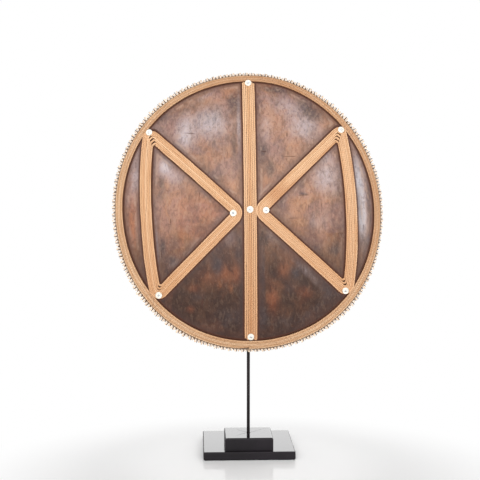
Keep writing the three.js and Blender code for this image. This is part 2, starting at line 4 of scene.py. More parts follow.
import bmesh
import bpy
import numpy as np
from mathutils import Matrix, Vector

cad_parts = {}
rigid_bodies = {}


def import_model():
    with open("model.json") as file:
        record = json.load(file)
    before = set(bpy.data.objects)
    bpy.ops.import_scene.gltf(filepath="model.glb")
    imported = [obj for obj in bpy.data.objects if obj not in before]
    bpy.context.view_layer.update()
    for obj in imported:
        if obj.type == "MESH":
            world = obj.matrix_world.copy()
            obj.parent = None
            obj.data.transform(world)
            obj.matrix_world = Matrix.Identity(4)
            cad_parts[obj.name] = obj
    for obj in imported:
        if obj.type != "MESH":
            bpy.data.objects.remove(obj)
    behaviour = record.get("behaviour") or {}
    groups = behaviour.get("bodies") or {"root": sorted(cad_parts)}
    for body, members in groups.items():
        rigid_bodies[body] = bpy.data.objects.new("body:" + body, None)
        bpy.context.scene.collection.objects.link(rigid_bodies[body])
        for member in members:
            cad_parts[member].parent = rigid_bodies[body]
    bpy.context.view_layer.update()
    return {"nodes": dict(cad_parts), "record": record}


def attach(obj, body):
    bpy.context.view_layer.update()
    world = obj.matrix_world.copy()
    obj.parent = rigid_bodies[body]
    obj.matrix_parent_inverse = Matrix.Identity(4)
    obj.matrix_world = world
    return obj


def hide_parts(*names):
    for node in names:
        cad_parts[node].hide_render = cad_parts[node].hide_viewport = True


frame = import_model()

# A round wooden shield on a small display stand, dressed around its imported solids.
# Shapes are worked out in millimetres and written to the meshes in metres.
mm = 0.001
rng = np.random.default_rng(7)

# Camera and studio

cameraSettings = {
    "place": (-0.1001, -2.194, 0.5617),
    "turnDegrees": 2.23,      # to the right of straight ahead
    "dropDegrees": 4.05,
    "lens": 86.25,
    "sensor": 36.0,
}

studio = {
    "floorSize": 14.0,
    "floorDrop": 0.0003,            # m below the felt
    "floorColour": (251, 251, 251),
    "floorRoughness": 0.5,
    "floorCentre": (0, -0.25, 0),
    "floorFade": (0.20, 0.56),      # m from that centre, over which the floor turns to plain white
    "mirrorCentre": (0, -0.1, 0),
    "mirrorFade": (0.15, 0.30),     # m from that centre, over which its polish ends
    "mirrorRoughness": 0.10,
    "mirrorIndex": 1.07,
    "fill": 0.23,                   # the world, for everything but the background
    "lights": {                     # place, aim, size, power
        "key": ((-0.1, -3.3, 2.05), (0, 0, 0.45), (4.8, 2.7), 131),
        "windowRight": ((2.5, -3.0, 1.2), (0, 0, 0.5), (0.8, 1.6), 17.5),
        "windowLeft": ((-2.1, -2.8, 2.5), (0, 0, 0.5), (1.0, 1.0), 17.5),
        "back": ((0, 2.9, 1.1), (0, 0, 0.2), (4.5, 1.7), 40),
        "hollow": ((0.9, 2.4, 1.4), (0, 0, 0.5), (1.4, 1.4), 26),
    },
}


def addObject(name, data, place=(0, 0, 0), turn=(0, 0, 0)):
    made = bpy.data.objects.new(name, data)
    made.location = place
    made.rotation_euler = turn
    bpy.context.scene.collection.objects.link(made)
    return made


def makeCamera(settings):
    lens = bpy.data.cameras.new("camera")
    lens.lens = settings["lens"]
    lens.sensor_width = settings["sensor"]
    level = math.radians(90 - settings["dropDegrees"])
    turn = (level, 0, math.radians(-settings["turnDegrees"]))
    bpy.context.scene.camera = addObject("camera", lens, settings["place"], turn)


makeCamera(cameraSettings)
bpy.context.scene.view_settings.view_transform = "Standard"
print("camera set")

# Shader maths: a Wire is one value in a material, and sums on it add the nodes


class Wire:
    def __init__(self, recipe, socket):
        self.recipe = recipe
        self.socket = socket

    def maths(self, operation, *values):
        settings = {"operation": operation}
        return self.recipe.node("ShaderNodeMath", settings, dict(enumerate(values)))

    def __add__(self, other):
        return self.maths("ADD", self, other)

    def __radd__(self, other):
        return self.maths("ADD", other, self)

    def __sub__(self, other):
        return self.maths("SUBTRACT", self, other)

    def __rsub__(self, other):
        return self.maths("SUBTRACT", other, self)

    def __mul__(self, other):
        return self.maths("MULTIPLY", self, other)

    def __rmul__(self, other):
        return self.maths("MULTIPLY", other, self)

    def sine(self):
        return self.maths("SINE", self)

    def size(self):
        return self.maths("ABSOLUTE", self)

    def atMost(self, other):
        return self.maths("MINIMUM", self, other)

    def atLeast(self, other):
        return self.maths("MAXIMUM", self, other)

    def rising(self, low, high):
        # 0 below low, 1 above high, smooth between
        settings = {"interpolation_type": "SMOOTHSTEP"}
        return self.recipe.node("ShaderNodeMapRange", settings, {0: self, 1: low, 2: high})


def linear(colour):
    # sRGB levels, 0 to 255, to the values that colour sockets take
    levels = np.array(colour) / 255
    values = np.where(levels <= 0.04045, levels / 12.92, ((levels + 0.055) / 1.055) ** 2.4)
    return [float(value) for value in values]


class Recipe:
    # One material or world: its nodes are made by one method, and colours are sRGB levels
    def __init__(self, name, kind=bpy.data.materials, shader="Principled BSDF"):
        self.made = kind.new(name)
        self.made.use_nodes = True
        self.tree = self.made.node_tree
        self.shader = self.tree.nodes[shader]

    def node(self, kind, settings=None, values=None, output=0):
        made = self.tree.nodes.new(kind)
        for key, value in (settings or {}).items():
            setattr(made, key, value)
        for key, value in (values or {}).items():
            self.feed(made.inputs[key], value)
        return Wire(self, made.outputs[output])

    def feed(self, socket, value):
        if isinstance(value, Wire):
            self.tree.links.new(value.socket, socket)
        elif socket.type == "RGBA":
            socket.default_value = (*linear(value), 1)
        else:
            socket.default_value = value

    def surface(self, **values):
        names = {"colour": "Base Color", "roughness": "Roughness", "metallic": "Metallic",
                 "gloss": "Specular IOR Level", "coat": "Coat Weight", "coatIndex": "Coat IOR",
                 "coatRoughness": "Coat Roughness", "sheen": "Sheen Weight", "normal": "Normal"}
        for key, value in values.items():
            self.feed(self.shader.inputs[names[key]], value)
        return self.made

    def place(self):
        return self.node("ShaderNodeTexCoord", output="Object")

    def axis(self, letter, where):
        return self.node("ShaderNodeSeparateXYZ", {}, {0: where}, output=letter)

    def stretched(self, scale, turn=(0, 0, 0), where=None):
        values = {"Vector": where or self.place(), "Scale": scale, "Rotation": turn}
        return self.node("ShaderNodeMapping", {}, values)

    def noise(self, scale, detail=3.0, roughness=0.55, distortion=0.0, where=None):
        return self.node("ShaderNodeTexNoise", {}, {
            "Vector": where or self.place(), "Scale": scale, "Detail": detail,
            "Roughness": roughness, "Distortion": distortion})

    def upright(self, scale, detail, roughness, distortion, height):
        # Noise whose spots are drawn out along z
        return self.noise(scale, detail, roughness, distortion, self.stretched((1, 1, height)))

    def strandNoise(self, detail, roughness, distortion, along, around):
        # On a strand u is the length in mm and v goes once round
        where = self.stretched((along, around, 1), where=self.node("ShaderNodeUVMap"))
        return self.noise(1.0, detail, roughness, distortion, where)

    def named(self, attribute):
        return self.node("ShaderNodeAttribute", {"attribute_name": attribute}, output="Fac")

    def blend(self, share, first, second):
        settings = {"data_type": "RGBA"}
        return self.node("ShaderNodeMix", settings, {0: share, 6: first, 7: second}, output=2)

    def layers(self, colour, *tints):
        # Lays tints over a colour in turn, each a pair of cover and colour
        for cover, tint in tints:
            colour = self.blend(cover, colour, tint)
        return colour

    def bump(self, height, distance, strength=1.0, under=None):
        values = {"Height": height, "Distance": distance, "Strength": strength}
        if under is not None:
            values["Normal"] = under
        return self.node("ShaderNodeBump", {}, values)


# Finishes: each is a ground colour and the tints that cover it in turn

woodLook = {
    # scale, detail, roughness, distortion and height of spots
    "noises": {
        "clouds": (9, 4, 0.58, 0.8, 0.7), "patches": (26, 4, 0.6, 1.0, 0.6),
        "mottle": (110, 4, 0.62, 0.4, 1.0), "streaks": (62, 5, 0.62, 1.2, 0.42),
        "fine": (210, 4, 0.62, 0.6, 0.45), "cool": (15, 3, 0.55, 0.9, 1.0),
        "warm": (20, 4, 0.6, 0.8, 0.8), "grain": (320, 3, 0.6, 0.2, 0.12)},
    "contrast": (0.34, 0.66),
    "dark": (50, 26, 14),
    "light": (171, 120, 85),
    "litFrom": (-0.75, 0.15),       # height over which the shade of the lower part ends
    # the groove's dark line is painted shadow, and the dark beside the cane is painted shade with dirt
    "grooveShadeEdge": (1.6, 4.4),       # mm from a groove, over which its dark line ends
    "dirtAndShadeReach": (2.0, 19.0),
    "gloss": 0.31,
}


def carvedWood(look):
    # Waxed, handled wood with an upright grain: mid brown above and nearly black below, partly its
    # own colour and partly painted shade, under a cool veil of painted sheen, with pale haze of
    # painted sheen, painted glare highlights, blue-black smoke, rust and gold where the marks say.
    # The edge attribute is the distance in mm from the nearest groove, height runs from -1 to 1.
    r = Recipe("carvedWood")
    words = ("edge", "height", "back", "rust", "gold", "hazeSheen", "glareHighlight", "smoke")
    edge, height, back, rust, gold, hazeSheen, glareHighlight, smoke = [r.named(word) for word in words]
    noise = {word: r.upright(*each) for word, each in look["noises"].items()}
    words = ("clouds", "patches", "mottle", "streaks", "fine")
    clouds, patches, mottle, streaks, fine = [noise[k].rising(*look["contrast"]) for k in words]
    cool = noise["cool"].rising(0.42, 0.62)
    warm = noise["warm"].rising(0.42, 0.70)
    # painted shade: lit darkens the lower part and lightens the upper, over the wood's own darker
    # colour below
    lit = height.rising(*look["litFrom"])
    texture = clouds * 0.44 + patches * 0.28 + streaks * 0.16 + fine * 0.12
    light = lit * 0.27 + texture * (0.42 + lit * 0.88) - 0.20
    # painted sheen: a pale cool veil over the upper part of the dome
    sheenVeil = height.rising(-0.35, 0.45) * (0.1 + clouds * 0.6 + mottle * 0.3)
    rust = (rust * (0.66 + streaks * 0.12 + mottle * 0.14 + clouds * 0.12)).rising(0.05, 1.0)
    gold = (gold * (0.60 + streaks * 0.2 + mottle * 0.3)).rising(0.15, 1.0)
    # painted sheen where the haze marks are
    hazeSheen = (hazeSheen * (0.58 + streaks * 0.25 + mottle * 0.25)).rising(0.08, 0.98)
    smoke = (smoke * (0.55 + patches * 0.35 + mottle * 0.3)).rising(0.08, 0.90)
    # painted shade with dirt beside the cane, a pale line on the rolled edge that is painted
    # highlight with wear, and painted shadow in the grooves
    dirtAndShade = (1 - edge.rising(*look["dirtAndShadeReach"])) * (0.25 + clouds * 0.5 + patches * 0.4)
    wearAndHighlight = edge.rising(6.0, 9.0) * (1 - edge.rising(9.5, 14.0)) * patches.rising(0.5, 0.9)
    grooveShade = 1 - edge.rising(*look["grooveShadeEdge"])
    # short dark nicks that lean to the right, and a few level ones
    slanted = r.noise(60, 2, 0.4, where=r.stretched((4, 1, 0.5), (0, -0.75, 0)))
    level = r.noise(50, 2, 0.4, where=r.stretched((0.5, 1, 5)))
    nicks = slanted.rising(0.70, 0.74) * clouds.rising(0.3, 0.6) + level.rising(0.72, 0.76)
    nicks = nicks.atMost(1) * edge.rising(6, 12) * (1 - back)
    hollow = r.blend(mottle * 0.5, r.blend(streaks, (76, 49, 31), (120, 81, 52)), (54, 34, 23))
    colour = r.layers(
        r.blend(light.atLeast(0).atMost(1), look["dark"], look["light"]),
        (warm * (0.16 + lit * 0.22), (151, 91, 60)),
        (cool * lit * 0.40, (120, 97, 103)),
        (sheenVeil * 0.20, (143, 130, 138)),
        (rust * 0.60, r.blend(patches, (116, 58, 33), (157, 91, 58))),
        (gold * 0.55, (176, 107, 62)),
        (hazeSheen * 0.72, (186, 174, 178)),
        # painted highlight where the glare marks are
        (glareHighlight * (0.7 + clouds * 0.3) * 0.78, (211, 209, 215)),
        (smoke * 0.82, (56, 48, 51)),
        (fine.rising(0.5, 1.0) * (0.30 + lit * 0.06), (52, 35, 31)),
        ((1 - fine).rising(0.6, 1.0) * (0.07 + lit * 0.13), (188, 155, 130)),
        (mottle.rising(0.5, 1.0) * (0.02 + lit * 0.15), (180, 143, 114)),
        (dirtAndShade * 0.66, (60, 40, 37)),
        (wearAndHighlight * lit * 0.35, (182, 151, 132)),
        (grooveShade * 0.90, (72, 37, 22)),
        (nicks * 0.6, (68, 37, 29)),
        (back, hollow))
    roughness = 0.36 + mottle * 0.10 + nicks * 0.2 + back * 0.25 + grooveShade * 0.2
    roughness = roughness + smoke * 0.06 - hazeSheen * 0.05
    small = r.bump(noise["grain"], 0.00014, 0.6)
    swell = r.bump(mottle, 0.0003, 0.45, small)
    normal = r.bump(1 - nicks, 0.0005, 0.7, swell)
    return r.surface(colour=colour, roughness=roughness, normal=normal, gloss=look["gloss"])


def caneFinish(name, light, middle, dark, lay=0.26):
    # Strands: tone differs from strand to strand, fibres run along, lay lines run across at a
    # slant, and the sides of a strand are darker than its top, a painted shade between strands
    r = Recipe(name)
    crestLit, tone, stain = r.named("crestLit"), r.named("tone"), r.named("stain")
    fibres = r.strandNoise(4, 0.65, 0.2, 0.05, 9)
    fine = r.strandNoise(3, 0.6, 0.0, 0.35, 22)
    knots = r.strandNoise(2, 0.5, 0.0, 0.13, 0.4)
    patches = r.noise(34, 4, 0.6, 0.5)
    along, around = [r.axis(letter, r.node("ShaderNodeUVMap")) for letter in ("X", "Y")]
    twist = (along * (2 * math.pi * lay) + around * (4 * math.pi)).sine() * 0.5 + 0.5
    ground = (fibres * 0.6 + tone * 0.5 + patches * 0.4 - 0.25).rising(0.1, 0.85)
    colour = r.layers(
        r.blend(ground, middle, light),
        (fine.rising(0.50, 0.75) * 0.35, dark),
        ((1 - twist).rising(0.50, 1.0) * 0.38, dark),
        (knots.rising(0.66, 0.72) * 0.5, (157, 103, 61)),
        (patches.rising(0.60, 0.75) * 0.30, (224, 153, 96)),
        (stain * (0.5 + fibres * 0.5), (174, 113, 65)),
        # painted shade on the sides of each strand, where it meets the next
        ((1 - crestLit).rising(0.60, 0.96) * 0.64, (117, 69, 36)))
    normal = r.bump(fine, 0.00010, 0.6, r.bump(twist * 0.6 + fibres * 0.5, 0.00030, 0.75))
    return r.surface(colour=colour, roughness=0.50 + fibres * 0.18, normal=normal, gloss=0.4)


def lacingCane():
    # Pale loops, and dark stems between them where the tone attribute is 1: the stems are painted
    # shade for the loops' shaded sides and holes
    r = Recipe("lacingCane")
    patches = r.noise(210, 3, 0.6)
    colour = r.layers(
        r.blend(patches, (226, 192, 155), (255, 236, 211)),
        (r.noise(16, 2, 0.5).rising(0.5, 0.7) * 0.4, (215, 172, 126)),
        # painted shade: the dark stems, where tone is 1
        (r.named("tone"), r.blend(patches, (67, 46, 33), (117, 84, 61))))
    return r.surface(colour=colour, roughness=0.55 + patches * 0.15,
                     normal=r.bump(patches, 0.0002, 0.5), gloss=0.4)


def shellFinish():
    r = Recipe("shell")
    rings = r.noise(900, 2, 0.5, 0.3)
    colour = r.blend(r.noise(130, 3, 0.6).rising(0.35, 0.75), (240, 236, 226), (218, 212, 198))
    return r.surface(colour=colour, roughness=0.26 + rings * 0.16,
                     normal=r.bump(rings, 0.00006, 0.5), gloss=0.5)


def metalFinish(name, bright, dull, roughness):
    r = Recipe(name)
    stains = r.noise(260, 4, 0.65)
    brushed = r.upright(1300, 2, 0.5, 0.0, 0.08)
    colour = r.blend(stains.rising(0.35, 0.75), bright, dull)
    return r.surface(colour=colour, metallic=1.0, roughness=roughness + stains * 0.22,
                     normal=r.bump(brushed, 0.00004, 0.5))


def lacquerFinish(name, deep, cloudy, roughness, gloss, squares=()):
    # Brushed black coat: near mirror, with dust, faint brush lines and dull upright edges on
    # square blocks, each given as its middle on the y axis and half its side
    r = Recipe(name)
    dust = r.noise(340, 3, 0.7)
    clouds = r.noise(14, 3, 0.6)
    lines = r.noise(60, 2, 0.5, where=r.stretched((0.15, 6, 6)))
    colour = r.layers(r.blend(clouds.rising(0.3, 0.8), deep, cloudy),
                      (dust.rising(0.66, 0.8) * 0.30, (110, 106, 104)))
    rough = roughness + clouds * 0.06 + dust.rising(0.6, 0.8) * 0.15
    for middle, half in squares:
        x, y = [r.axis(letter, r.place()) for letter in ("X", "Y")]
        reach = x.size().atLeast((y - middle).size())
        wearAndHighlight = reach.rising(half - 0.0019, half - 0.0007) * (1 - reach.rising(half, half + 0.0004))
        rough = rough + wearAndHighlight * 0.5
    return r.surface(colour=colour, roughness=rough, gloss=gloss,
                     normal=r.bump(lines, 0.00003, 0.4))


def gripFinish():
    r = Recipe("gripCane")
    fibres = r.strandNoise(4, 0.65, 0.2, 0.03, 14)
    colour = r.layers(
        r.blend(fibres, (126, 82, 46), (190, 140, 88)),
        (r.noise(40, 3, 0.6).rising(0.5, 0.75) * 0.5, (98, 60, 34)),
        (r.named("ring") * 0.7, (74, 44, 24)))
    return r.surface(colour=colour, roughness=0.34 + fibres * 0.2,
                     normal=r.bump(fibres, 0.0002, 0.5), gloss=0.5)


def blockWood():
    r = Recipe("blockWood")
    growth = r.noise(60, 4, 0.6, 0.4, where=r.stretched((1, 0.7, 0.07)))
    pores = r.upright(500, 2, 0.6, 0.0, 0.1)
    colour = r.layers(r.blend(growth.rising(0.3, 0.7), (92, 60, 36), (134, 94, 58)),
                      (pores.rising(0.58, 0.7) * 0.5, (60, 38, 24)))
    return r.surface(colour=colour, roughness=0.5 + growth * 0.2,
                     normal=r.bump(pores + growth, 0.00015, 0.6), gloss=0.4)


def feltFinish():
    r = Recipe("felt")
    colour = r.blend(r.noise(240, 3, 0.6), (26, 25, 27), (52, 50, 54))
    return r.surface(colour=colour, roughness=0.95, sheen=0.4,
                     normal=r.bump(r.noise(1500, 4, 0.7), 0.0003, 0.8))


blockSquares = ((-0.0305, 0.045), (0, 0.086))        # the step block and the board, in m
finishes = {
    "carved_wood": carvedWood(woodLook),
    "cane": caneFinish("bandCane", (240, 202, 162), (214, 165, 120), (174, 121, 82)),
    "pale_cane": lacingCane(),
    "grip_cane": gripFinish(),
    "shell": shellFinish(),
    "block_wood": blockWood(),
    "black_lacquer": lacquerFinish("blackLacquer", (18, 14, 18), (31, 26, 31), 0.07, 0.25,
                                   blockSquares),
    "black_rod": lacquerFinish("blackRod", (30, 25, 26), (45, 39, 40), 0.5, 0.15),
    "steel": metalFinish("steel", (196, 200, 206), (138, 140, 144), 0.26),
    "brass": metalFinish("brass", (206, 172, 104), (140, 106, 58), 0.30),
    "felt": feltFinish(),
}
print("finishes made:", len(finishes))

# Mesh helpers


def newPiece(name, points, faces, slot, body, nodes, values=None, uv=None):
    # points in mm; values are one number a point; uv is one pair a face corner
    mesh = bpy.data.meshes.new(name)
    mesh.from_pydata((np.asarray(points) * mm).tolist(), [], [list(face) for face in faces])
    mesh.polygons.foreach_set("use_smooth", np.full(len(mesh.polygons), True))
    for key, each in (values or {}).items():
        made = mesh.attributes.new(key, "FLOAT", "POINT")
        made.data.foreach_set("value", np.asarray(each, dtype=np.float32).ravel())
    if uv is not None:
        layer = mesh.uv_layers.new(name="UVMap")
        layer.data.foreach_set("uv", np.asarray(uv, dtype=np.float32).ravel())
    # every closed shell faces outwards
    work = bmesh.new()
    work.from_mesh(mesh)
    bmesh.ops.recalc_face_normals(work, faces=work.faces)
    work.to_mesh(mesh)
    work.free()
    mesh.materials.append(finishes[slot])
    mesh.update()
    dressed(addObject(name, mesh), body, nodes)


def dressed(piece, body, nodes):
    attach(piece, body)
    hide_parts(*nodes)


def gridFaces(rows, columns, wrapRows=False):
    # Quads of a grid of points numbered row by row, each row closed on itself
    i = np.arange(rows if wrapRows else rows - 1)[:, None]
    j = np.arange(columns)[None, :]
    nextRow = (i + 1) % rows
    nextColumn = (j + 1) % columns
    corners = [i * columns + j, nextRow * columns + j,
               nextRow * columns + nextColumn, i * columns + nextColumn]
    return np.stack([np.broadcast_to(c, (len(i), columns)) for c in corners], -1).reshape(-1, 4)


def endCaps(rows, around):
    return [list(range(around)), [(rows - 1) * around + k for k in range(around)][::-1]]


def tubeMesh(x, around):
    # Faces of a capped tube, and their UVs: u is the length x along it, v goes once round
    faces = gridFaces(len(x), around)
    j = faces % around
    wraps = (j.max(1) - j.min(1) == around - 1)[:, None]
    uv = np.stack([x[faces // around], np.where(wraps & (j == 0), around, j) / around], -1)
    uv = np.concatenate([uv.reshape(-1, 2), np.zeros((2 * around, 2))])
    return faces.tolist() + endCaps(len(x), around), uv


def smoothStep(value):
    t = np.clip(value, 0, 1)
    return t * t * (3 - 2 * t)


def unit(vectors):
    return vectors / np.linalg.norm(vectors, axis=-1, keepdims=True)


# The shield's own sizes, as its solids have them, and the bulges of the hand-made outline: the
# angle of the middle, half width in degrees, height in mm

shieldSizes = {
    "halfWidth": 253, "halfHeight": 262, "centreHeight": 463, "leanDegrees": 10,
    "planeBehindRod": 27, "rimWidth": 14, "rimRise": 16, "domeRise": 32.5, "wall": 9,
    "edgeDepth": 7, "lip": 9, "floorRadius": 62, "caneWidth": 2.8, "caneHeight": 2.2,
    "pitch": 3.4, "turns": 7, "seatGap": 0.3, "sideGap": 0.4, "rodForward": 30.5,
    "bulges": [(-42, 37.5, 6.2), (138, 26, 2.4), (245, 22, 1.3), (75, 16, 1.6), (188, 18, -1.3)],
    "bulgesFrom": (110, 120),   # radius where they begin, and the width over which they grow
}
s = shieldSizes
lean = math.radians(s["leanDegrees"])
shieldBack = s["planeBehindRod"] - s["rodForward"]
tallness = s["halfHeight"] / s["halfWidth"]
slopeLength = math.hypot(s["rimWidth"], s["rimRise"])
slopeAcross = s["rimRise"] / slopeLength
slopeProud = s["rimWidth"] / slopeLength
setback = s["caneHeight"] + s["seatGap"]
rimInner = s["halfWidth"] - s["rimWidth"]
grooveWall = rimInner - slopeAcross * setback
bodyEdge = s["halfWidth"] - slopeAcross * setback
seatInner = s["rimRise"] - slopeProud * setback
seatOuter = -slopeProud * setback
domeFall = s["domeRise"] / rimInner ** 2


def bulgeAt(angle):
    # Hand made, so not a true oval: the sum of bulge * exp(-(turn / half width)^2)
    push = 0
    for middle, half, bulge in s["bulges"]:
        turn = (angle - math.radians(middle) + math.pi) % (2 * math.pi) - math.pi
        push = push + bulge * np.exp(-(turn / math.radians(half)) ** 2)
    return push


def outOfRound(across, up):
    # Pushes a place out along its radius by the bulge there, less towards the middle
    begin, width = s["bulgesFrom"]
    radius = np.hypot(across, up / tallness)
    angle = np.arctan2(up / tallness, across)
    push = bulgeAt(angle) * smoothStep((radius - begin) / width)
    return across + push * np.cos(angle), up + push * np.sin(angle)


def toRow(vectors):
    # (across, up, proud) directions to the row's frame
    across, up, proud = np.moveaxis(vectors, -1, 0)
    y = up * math.sin(lean) - proud * math.cos(lean)
    z = up * math.cos(lean) + proud * math.sin(lean)
    return np.stack([across, y, z], -1)


def onShield(across, up, proud):
    # Places on the leaning shield to places in the row's frame, in mm
    across, up, proud = np.broadcast_arrays(across, up, proud)
    across, up = outOfRound(across, up)
    return toRow(np.stack([across, up, proud], -1)) + (0, shieldBack, s["centreHeight"])


def domeProud(across, up):
    # height = rim rise + dome rise - fall * (across^2 + (up / tallness)^2)
    return s["rimRise"] + s["domeRise"] - domeFall * (across ** 2 + (up / tallness) ** 2)


def domeNormal(across, up):
    # The unit normal as (across, up, proud)
    slopes = np.stack([2 * domeFall * across, 2 * domeFall * up / tallness ** 2,
                       np.ones_like(across)], -1)
    return unit(slopes)


# Where the bands run

bandPlaces = {
    "left": {"corners": [(-17.9, -10.9), (-185.6, 144.9), (-172.6, -165.9)], "bow": 13.6},
    "right": {"corners": [(18.6, -7.1), (177.4, 151.3), (181.5, -152.9)], "bow": 13.8},
}
bandLook = {
    "pitch": 3.03,            # the side bands' strands lie closer than the rim's
    "strand": 2.95,
    "apexFillet": 12.4,       # bend of the middle turn at the apex
    "rimFillet": 4.3,         # least bend at the two corners by the rim
    "tipSearch": (-20, 40, 601),        # how far from a corner a turn's tip is looked for
    "runSteps": (190, 200, 190),
    "bendSteps": (21, 41, 21),          # upper corner, lower corner, apex
    "swell": 0.24,            # of a strand in the bends by the rim
    "swellStepping": 0.528,   # the same where the right band's strand steps over
    "uprightShift": 2.7,      # the upright band sits a little right of the middle
    "uprightLean": -0.0036,
    "uprightWidth": 1.05,     # of its strands, as a share
    "uprightTurnSteps": 8,
    # stain: least share at the top, place where it starts to grow, over what length, by how much
    "sideStain": (0.2, 60, 260, 0.42),
    "uprightStain": (0.08, 170, 380, 0.66),
    "outer": (0.55, 0.6),       # side and upright: share of the half width where they begin
    "edgeStain": (0.42, 0.3, 90),       # of those strands: share, how much it varies, in mm
    "uprightEdgeStain": 0.35,
    "handled": (52, 26, 36, 1.2, 0.8),  # dark stretch on the right band: place, reach, shares
    "stepMore": 10,           # points over which a turn steps inwards before the bend
    "stepFrom": 0.02,
    "closest": 0.25,          # mm between two points of the upright band
}
bandOuter = (s["turns"] - 1) / 2 * bandLook["pitch"]
bandBeside = bandLook["strand"] / 2 + s["sideGap"]
besideStrand = s["caneWidth"] / 2 + s["sideGap"]
uprightHalf = (s["turns"] - 1) / 2 * s["pitch"]
uprightEnd = grooveWall * tallness - s["pitch"] / 2 - s["caneWidth"] / 2 - 2 * s["sideGap"]


def runLength(spots):
    return np.r_[0, np.cumsum(np.linalg.norm(np.diff(spots, axis=0), axis=1))]


def bandRun(place, k, t):
    # The middle line from corner k to the next one, at t of its length: start + chord t, bowed
    # outwards by 4 bow t (1 - t) for the bar. Gives the places, the ways along and the outward
    # normals.
    corners = np.array(place["corners"], float)
    start, end = corners[k], corners[(k + 1) % 3]
    chord = end - start
    out = unit(np.array([chord[1], -chord[0]]))
    out = out if out @ (start - corners.mean(0)) > 0 else -out
    bow = place["bow"] if k == 1 else 0
    t = np.atleast_1d(t)[:, None]
    way = unit(chord + out * (4 * bow * (1 - 2 * t)))
    normal = np.stack([way[:, 1], -way[:, 0]], -1)
    normal = normal * np.sign(normal @ out)[:, None]
    return start + chord * t + out * (4 * bow * t * (1 - t)), way, normal


def bandCorners(place):
    # For each corner half the swing of its bend, and how far a turn's tip may stand off it
    # before it meets the rim's groove
    swings, reaches = [], []
    search = np.linspace(*bandLook["tipSearch"])
    for k in range(3):
        first = bandRun(place, (k + 2) % 3, 1.0)[2][0]
        last = bandRun(place, k, 0.0)[2][0]
        swings.append(math.acos(first @ last) / 2)
        tip = np.array(place["corners"][k]) + unit(first + last) * search[:, None]
        inside = np.hypot(tip[:, 0], tip[:, 1] / tallness) < grooveWall - bandBeside
        reaches.append(search[inside.sum() - 1])
    return swings, reaches


def bandLine(place, turn, aside=0.0):
    # The closed line of one turn, 0 the outermost: straight runs at a set distance from the
    # middle line, joined by bends of radius fillet. By the rim the bend is the tightest that
    # keeps the turn's tip, (distance - fillet) / cos(swing) + fillet, clear of the rim and of
    # the turn outside it. aside moves the whole line off the strand, for the groove's edges.
    swings, reaches = bandCorners(place)
    distance = bandOuter - turn * bandLook["pitch"]
    shifts = []
    for k, swing in enumerate(swings):
        fillet = bandLook["apexFillet"] + distance
        if k:
            tip = reaches[k] - turn * bandLook["pitch"]
            tight = (distance / math.cos(swing) - tip) / (1 / math.cos(swing) - 1)
            fillet = max(bandLook["rimFillet"], tight)
        shifts.append((distance - fillet) * math.tan(swing))
    runs = []
    for k in (1, 2, 0):
        length = np.linalg.norm(np.subtract(*[place["corners"][i % 3] for i in (k, k + 1)]))
        t = np.linspace(-shifts[k] / length,
                        1 + shifts[(k + 1) % 3] / length, bandLook["runSteps"][k])
        spots, way, normal = bandRun(place, k, t)
        runs.append((spots + normal * (distance + aside), way))
    parts = []
    for i, count in enumerate(bandLook["bendSteps"]):
        # a bend as a weighted quadratic curve between the two runs' ends, which is an arc when
        # the weight is the cosine of half the swing
        (before, wayIn), (after, wayOut) = runs[i], runs[(i + 1) % 3]
        start, end, u, v = before[-1], after[0], wayIn[-1], wayOut[0]
        gap = end - start
        reach = (gap[0] * v[1] - gap[1] * v[0]) / (u[0] * v[1] - u[1] * v[0])
        weight = math.cos(math.acos(np.clip(u @ v, -1, 1)) / 2)
        t = np.linspace(0, 1, count + 2)[1:-1, None]
        top = (1 - t) ** 2 * start + 2 * weight * t * (1 - t) * (start + u * reach) + t ** 2 * end
        parts += [before, top / ((1 - t) ** 2 + 2 * weight * t * (1 - t) + t ** 2)]
    return parts


def lineDistance(across, up, line):
    # Signed distance from a closed line: positive outside it
    tiny = 1e-9
    points = np.stack([across.ravel(), up.ravel()], -1)
    best = np.full(len(points), np.inf)
    crossings = np.zeros(len(points), int)
    for start, end in zip(line, np.roll(line, -1, 0)):
        run = end - start
        t = np.clip((points - start) @ run / max(run @ run, tiny), 0, 1)
        best = np.minimum(best, np.linalg.norm(points - start - t[:, None] * run, axis=1))
        level = (start[1] > points[:, 1]) != (end[1] > points[:, 1])
        rise = run[1] if abs(run[1]) > tiny else tiny
        crossings += level & (points[:, 0] < start[0] + (points[:, 1] - start[1]) * run[0] / rise)
    return np.where(crossings % 2 == 1, -best, best).reshape(across.shape)


def coarse(parts):
    # A line with few points on its long runs, for measuring from
    return np.concatenate([part[::10] if len(part) > 100 else part[::2] for part in parts])


def edgeDistance(across, up):
    # mm outside the nearest groove: the rim's, the upright band's and the two side bands'
    middle = bandLook["uprightShift"] + bandLook["uprightLean"] * up
    near = [grooveWall - np.hypot(across, up / tallness),
            np.abs(across - middle) - uprightHalf - besideStrand]
    for place in bandPlaces.values():
        outside = lineDistance(across, up, coarse(bandLine(place, 0, bandBeside)))
        inside = lineDistance(across, up, coarse(bandLine(place, s["turns"] - 1, -bandBeside)))
        near.append(np.maximum(outside, -inside))
    return np.minimum.reduce(near)


# Carved body

